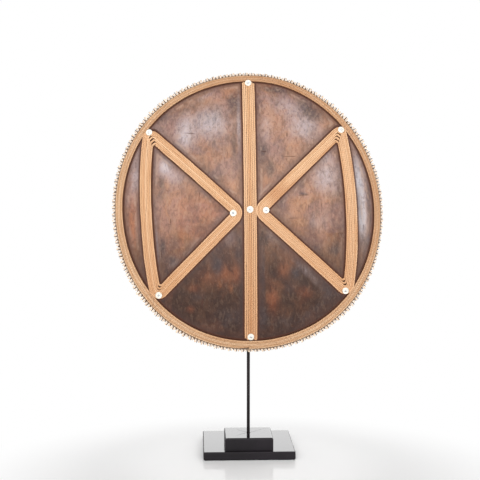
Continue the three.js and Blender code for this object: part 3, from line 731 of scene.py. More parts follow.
bodyLook = {
    "columns": 460,
    "frontRings": 120,
    "backRings": 44,
    "pole": 0.004,        # radius of the innermost ring, as a share
    "roll": 4.0,          # how far in from a groove the panel's edge rolls over
    "rollVaries": 0.35,
    "rollPower": 2.2,
    "rollDrop": 0.7,
    "grooveDrop": 2.6,
    "grooveSlope": 1.6,
    "uneven": (8, 12, 55),      # seed, count and length of the waves that vary the roll
    "waves": (3, 14, 70),       # the same for the unevenness left by the carver
    "wave": 0.45,         # its height
    "waveFade": 12.0,     # it ends within this of a groove
    "inset": 0.2,         # small offsets from the solid's own faces
    "rounding": (1.5, 1.2, 1.0),        # of the lip, the edge's foot and the edge's top
    "stepEdge": 0.5,      # the edge attribute round the rim
    "adze": 0.9,          # depth of the tool's scallops in the hollow
    "scallop": 24.0,      # from one to the next
    "scatter": 0.42,
    "scallopTall": 1.5,
    "flat": (58, 20),     # radius without scallops, and the width over which they begin
    "hollowEdge": 40.0,   # the edge attribute in the hollow, far from any groove
    # painted shade: the lower wedge is shaded darker by a share of the height; slope and softness of
    # its edges
    "shadeWedge": (0.20, 0.93, 24),
}

# Marks on the front: smoke, rust and gold are stains, haze is painted sheen and glare is a
# painted highlight; across, up, half width, half height, degrees turned, strength
bodyMarks = {
    # haze: pale patches of painted sheen
    "hazeSheen": [
        (-118, 143, 17, 34, -8, 0.9), (-68, 160, 40, 38, 0, 0.8), (-17, 165, 4, 58, 0, 0.8),
        (-157, 79, 13, 17, 0, 0.9), (-137, 58, 26, 18, -30, 0.55), (106, 158, 36, 30, -35, 0.85),
        (34, 151, 14, 30, 0, 0.55), (147, 58, 32, 38, 0, 0.8), (149, 98, 12, 12, 0, 0.6),
        (132, -27, 26, 22, 0, 0.45), (207, 40, 9, 52, 1, 1.0), (209, -16, 8, 34, 3, 0.8),
        (-36, -57, 16, 22, 0, 0.35), (44, -53, 18, 22, 0, 0.35), (110, -121, 42, 9, -44, 0.45),
        (-81, 216, 26, 5, 28, 0.5), (-172, -66, 3, 52, 4, 0.7), (-213, 58, 11, 44, -6, 0.7),
        (-108, -85, 14, 6, 42, 0.5), (-140, -103, 13, 7, 40, 0.45), (20, 20, 8, 28, 0, 0.4),
        (70, 200, 52, 22, -20, 0.5), (-206, 84, 12, 40, -6, 0.45)],
    # glare: painted highlights
    "glareHighlight": [
        (210, 46, 11, 50, 2, 1.0), (213, -12, 9, 40, 3, 0.95), (-66, 166, 26, 22, -10, 0.2),
        (-116, 140, 12, 24, -8, 0.3), (-157, 80, 8, 13, 0, 0.3), (148, 70, 16, 22, 0, 0.12)],
    "smoke": [
        (-28, 205, 14, 17, 0, 0.8), (-27, 116, 6, 46, 0, 0.7), (-161, 177, 12, 9, 45, 0.6),
        (-120, 187, 60, 10, 32, 0.55), (-59, 62, 24, 22, -40, 0.55), (119, 189, 31, 16, -38, 1.0),
        (52, 228, 30, 7, -6, 0.8), (29, 106, 12, 24, 0, 0.85), (41, 72, 11, 17, 0, 0.95),
        (103, 26, 9, 2.5, -8, 0.7), (96, 50, 16, 20, 0, 0.45), (57, -3, 14, 22, -20, 0.7),
        (158, -78, 13, 13, 0, 0.85), (214, -63, 12, 22, 6, 0.6), (228, 10, 6, 62, 1, 0.7),
        (-162, -73, 9, 24, 0, 0.85), (-144, -98, 14, 12, 0, 0.7), (-60, -108, 13, 18, 0, 0.9),
        (-20, -90, 8, 20, 0, 0.6), (-95, -165, 16, 10, 0, 0.6), (88, -120, 12, 13, 0, 0.8),
        (26, -200, 10, 22, 0, 0.6), (74, -150, 12, 14, 0, 0.5), (149, -150, 26, 18, -35, 0.7),
        (120, -188, 40, 10, 38, 0.5), (-197, -95, 10, 34, 12, 0.5), (-164, 40, 9, 34, 0, 0.7),
        (-40, -205, 46, 24, 0, 0.6), (60, -210, 44, 18, 8, 0.5), (26, -118, 5, 52, 0, 0.7)],
    "rust": [
        (-115, 5, 34, 34, 0, 0.6), (-60, 0, 26, 20, 30, 0.8), (-127, -45, 6, 26, 0, 0.9),
        (-98, -34, 24, 36, 0, 0.6), (-78, -54, 18, 12, 42, 0.6), (-219, -27, 7, 32, -3, 1.0),
        (-103, -150, 12, 8, 0, 0.6), (-109, -188, 9, 7, 0, 0.7), (-45, -122, 11, 15, 0, 0.7),
        (-23, -126, 9, 18, 0, 0.75), (44, -172, 11, 24, 0, 0.9), (103, -156, 15, 13, 0, 0.7),
        (65, -117, 14, 20, -20, 0.6), (-75, 120, 24, 22, 0, 0.35), (100, 130, 24, 20, 0, 0.3),
        (90, -90, 30, 9, -44, 0.35), (-80, -128, 18, 16, 0, 0.45), (60, 30, 14, 10, 40, 0.4),
        (-215, 10, 14, 84, -2, 0.7), (-45, -60, 26, 30, 40, 0.3), (-52, -128, 30, 30, 0, 0.3)],
    "gold": [
        (-55, -145, 6, 11, 0, 0.6), (-34, -149, 6, 14, 0, 0.6), (33, -163, 5, 18, 0, 0.4),
        (-222, -14, 4, 12, 0, 0.6), (-217, -6, 10, 66, -3, 0.62), (-206, 96, 7, 24, -8, 0.3),
        (-84, 214, 22, 3, 28, 0.5), (-60, 205, 14, 6, 12, 0.4), (30, -120, 3, 22, 0, 0.4),
        (110, 150, 16, 10, -35, 0.3)],
}


def markField(across, up, marks):
    # Soft ovals: 1 - the product of (1 - strength * exp(-0.8 d^2)), d the distance in half sizes
    left = np.ones(across.shape)
    for x, y, halfWide, halfHigh, turned, strength in marks:
        c, sn = math.cos(math.radians(turned)), math.sin(math.radians(turned))
        along = ((across - x) * c + (up - y) * sn) / halfWide
        aside = (-(across - x) * sn + (up - y) * c) / halfHigh
        left = left * (1 - strength * np.exp(-0.8 * (along ** 2 + aside ** 2)))
    return 1 - left


def waves(across, up, seed, count, length):
    # A sum of cosines with random directions, about 1 at most
    draw = np.random.default_rng(seed)
    total = np.zeros_like(across, dtype=float)
    for _ in range(count):
        angle, phase = draw.uniform(0, 2 * math.pi, 2)
        along = across * math.cos(angle) + up * math.sin(angle)
        total += np.cos(2 * math.pi * along / (length * draw.uniform(0.6, 1.6)) + phase)
    return total / math.sqrt(count) / 1.5


def scallops(across, up, look):
    # Distance to the nearest of a scatter of points, 0 at a point and 1 at about one spacing
    draw = np.random.default_rng(11)
    reach, spacing = s["halfHeight"] + 8, look["scallop"]
    side = np.arange(-reach, reach + 1, spacing)
    spots = np.stack(np.meshgrid(side, side), -1).reshape(-1, 2)
    spots = spots + draw.uniform(-look["scatter"], look["scatter"], spots.shape) * spacing
    best = np.full(across.shape, np.inf)
    for x, y in spots[np.hypot(spots[:, 0], spots[:, 1]) < reach + 5]:
        best = np.minimum(best, (across - x) ** 2 + ((up - y) / look["scallopTall"]) ** 2)
    return np.clip(np.sqrt(best) / spacing, 0, 1)


def carvedBody(look):
    # One closed surface: rings of radius r and height h, each ring at
    # (r cos a, tallness r sin a, h). The front's height is the dome, less a rolled edge
    # beside each groove and a flat drop inside it; the back is the dome less the wall.
    a = np.linspace(0, 2 * math.pi, look["columns"], endpoint=False)[None, :]
    inset, foot = look["inset"], -s["edgeDepth"]
    rounding, shoulder, top = look["rounding"]
    lip = bodyEdge - s["lip"]
    front = np.linspace(look["pole"], 1, look["frontRings"]) * grooveWall
    step = np.array([(grooveWall, seatInner - inset), (bodyEdge, seatOuter - inset),
                     (bodyEdge + inset, seatOuter - top), (bodyEdge + inset, foot + rounding),
                     (bodyEdge - shoulder, foot), (lip + rounding, foot), (lip, foot + rounding)])
    back = np.linspace(1, look["pole"], look["backRings"]) * (grooveWall - s["lip"])
    radius = np.concatenate([front, step[:, 0], back])[:, None]
    across, up = radius * np.cos(a), radius * tallness * np.sin(a)
    inFront, behind = slice(len(front)), slice(len(front) + len(step), None)

    edge = edgeDistance(across[inFront], up[inFront])
    uneven = waves(across[inFront], up[inFront], *look["uneven"])
    roll = 1 - np.clip(edge / (look["roll"] * (1 + look["rollVaries"] * uneven)), 0, 1)
    drop = look["rollDrop"] * roll ** look["rollPower"]
    deeper = look["grooveDrop"] - look["rollDrop"]
    drop = drop + deeper * smoothStep(-edge / look["grooveSlope"])
    swell = look["wave"] * waves(across[inFront], up[inFront], *look["waves"])
    swell = swell * np.clip(edge / look["waveFade"], 0, 1)
    proud = domeProud(across, up)
    proud[inFront] += swell - drop - look["wave"]
    proud[len(front):len(front) + len(step)] = step[:, 1:]

    # the floor is flat for the block; elsewhere the tool has left scallops
    floor = domeProud(float(s["floorRadius"]), 0.0) - s["wall"]
    cuts = scallops(across[behind], up[behind], look)
    flat, width = look["flat"]
    clear = smoothStep((np.hypot(across[behind], up[behind]) - flat) / width)
    hollow = np.minimum(proud[behind] - s["wall"], floor)
    proud[behind] = hollow + look["adze"] * (1 - cuts ** 2) * clear - inset

    edges = np.full(across.shape, look["stepEdge"])
    edges[inFront] = edge
    edges[behind] = look["hollowEdge"]
    inside = np.zeros(across.shape)
    inside[len(front) + 4:] = 1
    # painted shade: the wedge below the side bands is shaded darker than its height alone would have it
    share, slope, soft = look["shadeWedge"]
    below = smoothStep((-up - slope * np.abs(across)) / soft + 0.5)
    height = up / (grooveWall * tallness) - share * below
    values = {"edge": edges, "height": height, "back": inside}
    for kind, marks in bodyMarks.items():
        values[kind] = markField(across, up, marks)
    rows, columns = across.shape
    faces = gridFaces(rows, columns).tolist() + endCaps(rows, columns)
    return onShield(across, up, proud).reshape(-1, 3), faces, values


points, faces, values = carvedBody(bodyLook)
newPiece("shieldBody", points, faces, "carved_wood", "shield", ["shield_body"], values=values)
print("carved body:", len(faces), "faces")

# Cane strands

strandLook = {
    "halfWidth": 1.66,
    "around": 10,
    "step": 1.15,
    "acrossPower": 0.55,
    "abovePower": 0.75,
    "lay": 7.0,           # length of one turn of twist
    "ply": 0.09,          # depth of the twist as a share of the strand's size
    "wander": (0.16, 60),       # mm sideways, and the length of its waves
    "lift": (0.12, 45),         # mm up and down
    "size": (0.04, 30),         # share of its own size
    "liftFrom": 0.6,            # mm above the groove's floor, where the lift begins
}


def drift(x, wavelength, draw):
    # A slow random wave along the length x, about 1 at most
    total = np.zeros(len(x))
    for _ in range(5):
        total += np.cos(2 * math.pi * x / (wavelength * draw.uniform(0.6, 1.8)) + draw.uniform(0, 6.28))
    return total / 3


def strandPiece(name, node, foot, sideways, normal, turnOf, seed, stain, thin=1.0):
    # A strand over rows of foot points. Its section is a superellipse with a flat underside:
    # across w |cos f|^0.55, height h (1 + |sin f|^0.75 sign(sin f)) / 2, and the twist swells it
    # by 1 + ply cos(2 f - 2 pi x / lay) with x the length along. turnOf numbers the turn.
    look = strandLook
    draw = np.random.default_rng(seed)
    x = runLength(foot)
    rows, around = len(foot), look["around"]
    f = (np.arange(around) + 0.5) / around * 2 * math.pi
    c, sn = np.cos(f), np.sin(f)
    across = np.sign(c) * np.abs(c) ** look["acrossPower"] * look["halfWidth"]
    above = (1 + np.sign(sn) * np.abs(sn) ** look["abovePower"]) / 2 * s["caneHeight"]
    twist = 1 + look["ply"] * np.cos(2 * f[None, :] - 2 * math.pi * x[:, None] / look["lay"])
    side, lift, size = [look[word][0] * drift(x, look[word][1], draw)[:, None]
                        for word in ("wander", "lift", "size")]
    wide = across * twist * (1 + size) * np.reshape(thin, (-1, 1)) + side
    high = above * (0.5 + twist / 2) + lift * (above > look["liftFrom"])
    rings = foot[:, None, :] + sideways[:, None, :] * wide[..., None]
    rings = rings + normal[:, None, :] * high[..., None]
    tones = draw.uniform(0, 1, int(turnOf.max()) + 2)
    below = np.floor(turnOf).astype(int)
    tone = tones[below] * (1 - turnOf % 1) + tones[below + 1] * (turnOf % 1)

    def spread(each):
        return np.repeat(np.broadcast_to(each, rows)[:, None], around, 1)

    # 1 on a strand's top and 0 at its sides, for the painted shade of the sides
    crestLit = np.repeat(1 - np.abs(across)[None, :] / np.abs(across).max(), rows, 0)
    values = {"crestLit": crestLit, "tone": spread(tone), "stain": spread(stain)}
    faces, uv = tubeMesh(x, around)
    newPiece(name, rings.reshape(-1, 3), faces, "cane", "shield", [node], values, uv)
    print(name + ":", len(faces), "faces")


def domeStrand(spots, outs):
    # Feet on the groove's floor, and the two directions of the section, for a strand on the dome
    across, up = spots[:, 0], spots[:, 1]
    normal = domeNormal(across, up)
    rise = -(normal[:, 0] * outs[:, 0] + normal[:, 1] * outs[:, 1]) / normal[:, 2]
    side = unit(np.concatenate([outs, rise[:, None]], -1))
    foot = onShield(across, up, domeProud(across, up) - s["caneHeight"]) + toRow(normal) * s["seatGap"]
    return foot, toRow(side), toRow(normal)


def besideWay(spots, middle=None):
    # Directions square to the line, pointing away from the middle
    way = np.gradient(spots, axis=0)
    out = unit(np.stack([way[:, 1], -way[:, 0]], -1))
    if middle is not None:
        out = out * np.sign(((spots - middle) * out).sum(1))[:, None]
    return out


def evenly(spots, values, step):
    # The same line with its points a set step apart
    x = runLength(spots)
    at = np.linspace(0, x[-1], int(x[-1] / step))
    return (np.stack([np.interp(at, x, spots[:, i]) for i in (0, 1)], -1),
            [np.interp(at, x, value) for value in values])


def aged(up, turns, look, outer):
    # The outermost and innermost strands have taken up more of the wood's stain, and so have
    # all of them lower down
    outermost = np.abs(turns - (s["turns"] - 1) / 2) / ((s["turns"] - 1) / 2)
    least, start, length, growth = look
    stain = smoothStep((outermost - outer) / (1 - outer))
    return stain, least + np.clip((start - up) / length, 0, 1) * growth


def sideBand(side, node, seed):
    # The strand goes round and steps one turn inwards on its way into the upper corner's bend:
    # there it is a mix of the line it leaves and the next one
    place = bandPlaces[side]
    draw = np.random.default_rng(seed + 5)
    lines = [bandLine(place, turn) for turn in range(s["turns"])]
    counts = [len(part) for part in lines[0]]
    # 1 in the middle of the two bends by the rim
    bent = np.concatenate([np.sin(np.linspace(0, math.pi, n)) if i in (1, 5) else np.zeros(n)
                           for i, n in enumerate(counts)])
    whole = [np.concatenate(parts) for parts in lines]
    total, half = len(whole[0]), counts[-1] // 2
    stepping = half + bandLook["stepMore"]
    over = smoothStep((np.arange(total) - (total - half - stepping)) / stepping)[:, None]
    spots, turns, corner = [whole[0][-half:]], [np.zeros(half)], [bent[-half:]]
    for turn in range(s["turns"] - 1):
        spots.append(whole[turn] * (1 - over) + whole[turn + 1] * over)
        turns.append(turn + over[:, 0])
        corner.append(bent)
    stop = total - 2 * half
    spots.append(whole[-1][:stop])
    turns.append(np.full(stop, s["turns"] - 1.0))
    corner.append(bent[:stop])
    along = [np.concatenate(turns), np.concatenate(corner)]
    spots, (turns, corner) = evenly(np.concatenate(spots), along, strandLook["step"])
    foot, sideways, normal = domeStrand(spots, besideWay(spots, np.mean(place["corners"], 0)))
    outer, low = aged(spots[:, 1], turns, bandLook["sideStain"], bandLook["outer"][0])
    share, varies, length = bandLook["edgeStain"]
    stain = np.maximum(outer * (share + varies * drift(runLength(spots), length, draw)), low)
    swell = bandLook["swell"]
    if side == "right":
        x, y, reach, most, share = bandLook["handled"]
        aside = np.hypot(spots[:, 0] - x, spots[:, 1] - y)
        stain = np.maximum(stain, np.clip(most - aside / reach, 0, 1) * share)
        swell = np.where(turns % 1 > bandLook["stepFrom"], bandLook["swellStepping"], swell)
    thin = bandLook["strand"] / s["caneWidth"] * (1 + swell * corner)
    strandPiece(side + "BandCane", node, foot, sideways, normal, turns, seed,
                np.clip(stain, 0, 1), thin)


def uprightBand():
    # Seven runs up and down, joined by half circles of half a pitch
    spots, turns = [], []
    for run in range(s["turns"]):
        way = 1 if run % 2 == 0 else -1
        x = run * s["pitch"] - uprightHalf
        up = np.arange(-uprightEnd, uprightEnd, strandLook["step"]) * way
        spots.append(np.stack([np.full(len(up), x), up], -1))
        turns.append(np.full(len(up), float(run)))
        if run < s["turns"] - 1:
            angle = np.linspace(0, math.pi, bandLook["uprightTurnSteps"])
            arm = np.stack([-np.cos(angle), way * np.sin(angle)], -1)
            spots.append(np.array([x + s["pitch"] / 2, way * uprightEnd]) + arm * s["pitch"] / 2)
            turns.append(run + angle / math.pi)
    spots, turns = np.concatenate(spots), np.concatenate(turns)
    keep = np.r_[True, np.linalg.norm(np.diff(spots, axis=0), axis=1) > bandLook["closest"]]
    spots, turns = spots[keep], turns[keep]
    spots[:, 0] += bandLook["uprightShift"] + bandLook["uprightLean"] * spots[:, 1]
    foot, sideways, normal = domeStrand(spots, besideWay(spots))
    outer, low = aged(spots[:, 1], turns, bandLook["uprightStain"], bandLook["outer"][1])
    strandPiece("uprightBandCane", "upright_band_cane", foot, sideways, normal, turns, 31,
                np.maximum(outer * bandLook["uprightEdgeStain"], low), bandLook["uprightWidth"])


rimLook = {
    "step": 1.45,
    "overShare": 0.015,         # of a turn, over which the strand steps to the next one
    "darkTop": (0.5, 1.35, 0.7),        # share, angle of its middle, half width
    "darkRight": (0.3, 0.7),            # share, cosine from which it grows
    "stain": (0.1, 0.25, 120),          # least share, how much it varies, in mm
}


def rimCane(look):
    # A spiral down the rim's slope: each turn lies one pitch further in, and the strand steps
    # over to the next turn at the foot of the shield
    turnsHeld = int((slopeLength - 2 * s["sideGap"] - s["caneWidth"]) // s["pitch"]) + 1
    margin = (slopeLength - (turnsHeld - 1) * s["pitch"]) / 2
    count = int(2 * math.pi * s["halfWidth"] * turnsHeld / look["step"])
    t = np.linspace(0, turnsHeld, count)
    whole = np.minimum(np.floor(t), turnsHeld - 1)
    over = smoothStep((t - whole - 1 + look["overShare"]) / look["overShare"])
    at = whole + np.where(whole == turnsHeld - 1, 0, over)
    angle = 2 * math.pi * t - math.pi / 2
    along = slopeLength - margin - at * s["pitch"]
    radius = grooveWall + slopeProud * along + slopeAcross * s["seatGap"]
    proud = seatInner - slopeAcross * along + slopeProud * s["seatGap"]
    c, sn = np.cos(angle), np.sin(angle)
    foot = onShield(radius * c, radius * tallness * sn, proud)
    flat = np.ones(count)
    sideways = [slopeProud * c, slopeProud * tallness * sn, -slopeAcross * flat]
    normal = [slopeAcross * c, slopeAcross * tallness * sn, slopeProud * flat]
    sideways, normal = [toRow(unit(np.stack(each, -1))) for each in (sideways, normal)]
    topShare, middle, width = look["darkTop"]
    rightShare, begin = look["darkRight"]
    least, varies, length = look["stain"]
    # the rim is made darker towards its top and on its right side; the code adds this to the stain
    # value
    darker = topShare * np.exp(-((angle % (2 * math.pi) - middle) / width) ** 2)
    darker = darker + rightShare * np.clip(c - begin, 0, 1) / (1 - begin)
    draw = np.random.default_rng(44)
    stain = np.clip(least + darker + varies * drift(runLength(foot), length, draw), 0, 1)
    strandPiece("rimCane", "rim_cane", foot, sideways, normal, at, 41, stain)


sideBand("left", "left_band_cane", 11)
sideBand("right", "right_band_cane", 21)
uprightBand()
rimCane(rimLook)

# Laced edge

lacingLook = {
    # the stems are dark strokes of painted shade, not strands
    "count": 126,         # each stitch is a long loop, a shorter one, a long and a short stem
    "around": 6,
    "clear": 0.9,         # from the edge of the rim to the stitches' feet
    "reach": 7.2,         # of a long loop at the four outermost places
    "spare": 0.3,         # how much longer the stitches are between those places
    "reaches": (0.80, 1.0),
    "strand": 0.74,       # half thickness of a loop's cane
    "spread": 1.3,        # half width of a loop, along the edge
    "spreads": (0.75, 1.2),
    "tilts": (-0.15, 0.15),
    "steps": 9,
    "slip": 2.2,          # how far a loop's far leg lies behind its near one
    "proud": -2.0,
    "sunk": 0.6,
    "second": 6.3,        # from the long loop to the short one, along the edge
    "shorter": 0.82,
    # dark stems, painted shade for the loops' shaded sides and holes: place along the edge and its
    # spread, lean, foot, reach, how it varies, proud and its fall, half thickness, how it varies,
    # and its taper
    "shifts": (-0.3, 0.3),
    "shadePeg": {"along": 3.1, "lean": (-0.9, 0.7), "foot": -0.5, "reach": 6.1, "more": 0.5,
            "reaches": (0.75, 1.0), "proud": (-2.4, 1.2), "thick": 0.80,
            "thicks": (0.85, 1.15), "taper": (1.25, 1.1, 1.0, 0.9, 0.6)},
    "root": {"along": -3.1, "lean": (-0.4, 0.9), "foot": -0.9, "reach": 3.8, "more": 0,
             "reaches": (0.7, 1.25), "proud": (-1.8, 0.6), "thick": 1.1,
             "thicks": (0.8, 1.1), "taper": (1.1, 1.1, 0.95, 0.55)},
    "hoopSteps": 252,
    "hoopGap": 0.25,      # from the body to the hoop
    "hoopProud": (-1.7, -1.9, -4.6, -4.6),
    "hoopTone": 0.75,
}


def tubes(centres, radius, around):
    # One tube for each row of centres (loops, steps, 3 local axes: along the edge, out, proud)
    ahead = unit(np.gradient(centres, axis=1))
    side = unit(np.cross(ahead, np.array([0.0, 0.0, 1.0])) + 1e-9)
    above = np.cross(side, ahead)
    f = np.linspace(0, 2 * math.pi, around, endpoint=False)
    ring = (side[:, :, None, :] * np.cos(f)[None, None, :, None]
            + above[:, :, None, :] * np.sin(f)[None, None, :, None])
    return centres[:, :, None, :] + ring * radius[..., None, None]


def edgeLacing(look):
    # Each pale loop leaves the edge in front, bends at its tip and goes back behind, with q from
    # 0 to pi: along = -w cos q, out = reach sin(q)^0.5, proud falls by the slip. Between the loops
    # stand a long dark stem and a short dark one at the next stitch's root, both painted shade
    # for the loops' shaded sides and holes.
    count, around = look["count"], look["around"]
    draw = np.random.default_rng(5)

    def vary(low, high):
        return draw.uniform(low, high, (count, 1))

    def loop(middle, reach):
        q = np.linspace(0, math.pi, look["steps"])[None, :]
        tilt = vary(*look["tilts"])
        out = (reach - look["strand"]) * vary(*look["reaches"]) * np.sin(q) ** 0.5 - look["sunk"]
        along = middle - look["spread"] * vary(*look["spreads"]) * np.cos(q) + tilt * out
        proud = look["proud"] - look["slip"] * q / math.pi + 0 * along
        thick = np.full(along.shape, look["strand"])
        return tubes(np.stack([along, out, proud], -1), thick, around)

    def shadeStem(each):
        t = np.linspace(0, 1, len(each["taper"]))[None, :]
        out = each["foot"] + (each["reach"] * vary(*each["reaches"]) + each["more"]) * t
        along = each["along"] + vary(*look["shifts"]) + t ** 2 * vary(*each["lean"])
        thick = each["thick"] * np.array(each["taper"]) * vary(*each["thicks"])
        proud = each["proud"][0] - each["proud"][1] * t + 0 * out
        return tubes(np.stack([along, out, proud], -1), thick, around)

    points, faces, tones = [], [], []
    place = (np.arange(count) + 0.5) * 2 * math.pi / count
    radius = s["halfWidth"] + look["clear"]
    # the two stems are painted shade; tone 1 makes them dark
    stitches = [(loop(0, look["reach"]), 0.0),
                (loop(look["second"], look["reach"] * look["shorter"]), 0.0),
                (shadeStem(look["shadePeg"]), 1.0), (shadeStem(look["root"]), 1.0)]
    for local, tone in stitches:
        a = place[:, None, None] + local[..., 0] / radius
        # the stitches are shorter at the four outermost places, so as not to add to the size
        extreme = np.cos(a) ** 8 + np.sin(a) ** 8
        longer = 1 + look["spare"] * (1 - extreme)
        longer = longer - np.maximum(bulgeAt(a) * extreme, 0) / look["reach"]
        r = radius + local[..., 1] * longer
        where = onShield(r * np.cos(a), r * tallness * np.sin(a), local[..., 2])
        steps = local.shape[1]
        offset = sum(len(each) for each in points)
        one = gridFaces(steps, around).tolist() + endCaps(steps, around)
        for k in range(count):
            faces += [[offset + k * steps * around + v for v in face] for face in one]
        points.append(where.reshape(-1, 3))
        tones.append(np.full(len(points[-1]), tone))
    # a thin hoop under the loops closes the edge
    a = np.linspace(0, 2 * math.pi, look["hoopSteps"], endpoint=False)[:, None]
    inner, outer = bodyEdge + look["hoopGap"], radius
    across = np.array([inner, outer, outer, inner])
    hoop = onShield(across * np.cos(a), across * tallness * np.sin(a), np.array(look["hoopProud"]))
    hoopFaces = gridFaces(look["hoopSteps"], len(across), wrapRows=True)
    faces += (hoopFaces + sum(len(each) for each in points)).tolist()
    points.append(hoop.reshape(-1, 3))
    tones.append(np.full(len(points[-1]), look["hoopTone"]))
    newPiece("edgeLacing", np.concatenate(points), faces, "pale_cane", "shield",
             ["edge_lacing"], values={"tone": np.concatenate(tones)})
    print("edge lacing:", len(faces), "faces")


edgeLacing(lacingLook)

# Turned pieces


def turnedPiece(name, profile, foot, axis, slot, body, node, sides=48):
    # Profile of (radius, height) pairs carried round the axis, from axis to axis or closed:
    # point = foot + r cos a * u + r sin a * v + h * axis
    axis = unit(np.array(axis, dtype=float))
    u = unit(np.cross(axis, [0.0, 0.31, 1.0]))
    v = np.cross(axis, u)
    closed = profile[0] == profile[-1]
    r, h = np.array(profile[:-1] if closed else profile, dtype=float).T[..., None]
    a = np.linspace(0, 2 * math.pi, sides, endpoint=False)
    points = foot + (r * np.cos(a))[..., None] * u + (r * np.sin(a))[..., None] * v
    points = points + h[..., None] * axis
    faces = gridFaces(len(r), sides, wrapRows=closed).tolist()
    if not closed:
        faces += endCaps(len(r), sides)
    newPiece(name, points.reshape(-1, 3), faces, slot, body, [node])


def rounded(inner, outer, low, high, bevel, steps=4):
    # A ring's profile with its outer edges rounded
    turn = np.linspace(0, math.pi / 2, steps)
    top = [(outer - bevel + bevel * math.cos(t), high - bevel + bevel * math.sin(t)) for t in turn]
    foot = [(outer - bevel + bevel * math.sin(t), low + bevel - bevel * math.cos(t)) for t in turn]
    return [(inner, low)] + foot + top + [(inner, high)]


# Shell discs and nails

discPlaces = {
    "left_upper": (-185, 145.4), "top": (1.6, 242.4), "right_upper": (178.4, 152.2),
    "left_apex": (-29.3, -11.3), "centre": (2.1, -4.6), "right_apex": (32, -5.9),
    "left_lower": (-168.2, -161.7), "right_lower": (177.1, -151.2), "bottom": (3, -239),
}
discLook = {
    "radius": 6.4,
    "sizes": (0.96, 0.99),
    "tilt": 0.02,
    "hole": 1.2,
    "bevel": 0.6,
    "lift": 0.6,
    "top": 2.6,
    "dish": (0.62, 2.2),  # where it begins, as a share of the radius, and its floor's radius
    "drops": (0.08, 0.22, 0.25),        # from the top: there, there and at the hole
    "nail": (0.9, -1.6, -0.15),         # radius of the shank, foot and neck from the top
    "nailHead": 2.0,
    # the head's profile: share of its radius, height from the disc's top
    "dome": [(1, 0.05), (0.96, 0.35), (0.66, 0.74), (0.3, 0.9), (0.01, 0.93)],
}


def discAndNail(word, across, up, d):
    across, up = np.array(across), np.array(up)
    normal = domeNormal(across, up)
    tilt = unit(toRow(normal) + rng.normal(0, d["tilt"], 3))
    foot = onShield(across, up, domeProud(across, up))
    size, top = d["radius"] * rng.uniform(*d["sizes"]), d["top"]
    profile = rounded(d["hole"], size, d["lift"], top, d["bevel"], 5)[:-1]
    begin, floor = d["dish"]
    radii = (size * begin, floor, d["hole"])
    profile += [(radius, top - drop) for radius, drop in zip(radii, d["drops"])]
    turnedPiece("shellDisc_" + word, profile + profile[:1], foot, tilt, "shell", "shield",
                "shell_disc_" + word, 40)
    shank, low, neck = d["nail"]
    head = [(0.02, top + low), (shank, top + low), (shank, top + neck)]
    head += [(share * d["nailHead"], top + high) for share, high in d["dome"]]
    turnedPiece("discNail_" + word, head, foot, tilt, "steel", "shield", "disc_nail_" + word, 24)


for word, (across, up) in discPlaces.items():
    discAndNail(word, across, up, discLook)
print("discs and nails placed")

# Grips

gripLook = {
    "offset": 62, "span": 112, "reach": 38, "radius": 6.0, "bend": 26, "socket": 3.5,
    "around": 26,
    "steps": (12, 20, 24),      # of a leg, a bend and the back
    "rings": 4,
    "ringPlaces": (0.3, 0.7),
    "ringWidth": 2.2,
    "ringSwell": 0.3,
    "thinner": 0.35,            # than the solid, between the rings
}


def gripPiece(name, node, side, look, seed):
    # The bow's route: straight legs, quadratic curves at the bends and a straight back,
    # p = (1-t)^2 a + 2 t (1-t) b + t^2 c on each bend. Swells slightly at the growth rings.
    across = side * look["offset"]
    half, bend = look["span"] / 2, look["bend"]
    floor = domeProud(float(across), half) - s["wall"]
    back = floor - look["reach"] - look["radius"]
    foot = floor + look["socket"] - s["seatGap"]
    c = np.array([(-half, foot), (-half, back + bend), (-half, back), (-half + bend, back),
                  (half - bend, back), (half, back), (half, back + bend), (half, foot)])
    leg, turn, straight = look["steps"]

    def line(p, q, n):
        return p + (q - p) * np.linspace(0, 1, n)[:, None]

    def curve(p, q, r, n):
        t = np.linspace(0, 1, n)[:, None]
        return (1 - t) ** 2 * p + 2 * t * (1 - t) * q + t ** 2 * r

    route = np.concatenate([
        line(c[0], c[1], leg)[:-1], curve(c[1], c[2], c[3], turn)[:-1],
        line(c[3], c[4], straight)[:-1], curve(c[4], c[5], c[6], turn)[:-1], line(c[6], c[7], leg)])
    x = runLength(route)
    draw = np.random.default_rng(seed)
    rings = np.arange(look["rings"]) + draw.uniform(*look["ringPlaces"], look["rings"])
    away = x[:, None] - x[-1] * rings / look["rings"]
    near = np.exp(-(away / look["ringWidth"]) ** 2).sum(1)
    radius = (look["radius"] - look["thinner"] + look["ringSwell"] * near)[:, None]
    ahead = unit(np.gradient(route, axis=0))
    f = np.linspace(0, 2 * math.pi, look["around"], endpoint=False)
    up = route[:, :1] - ahead[:, 1:] * np.cos(f) * radius
    proud = route[:, 1:] + ahead[:, :1] * np.cos(f) * radius
    faces, uv = tubeMesh(x, look["around"])
    ring = np.repeat(np.clip(near, 0, 1)[:, None], look["around"], 1)
    points = onShield(across + np.sin(f) * radius, up, proud)
    newPiece(name, points.reshape(-1, 3), faces, "grip_cane", "shield", [node], {"ring": ring}, uv)


gripPiece("handGrip", "hand_grip", 1, gripLook, 3)
gripPiece("armGrip", "arm_grip", -1, gripLook, 4)
print("grips bent")

# Block and stand

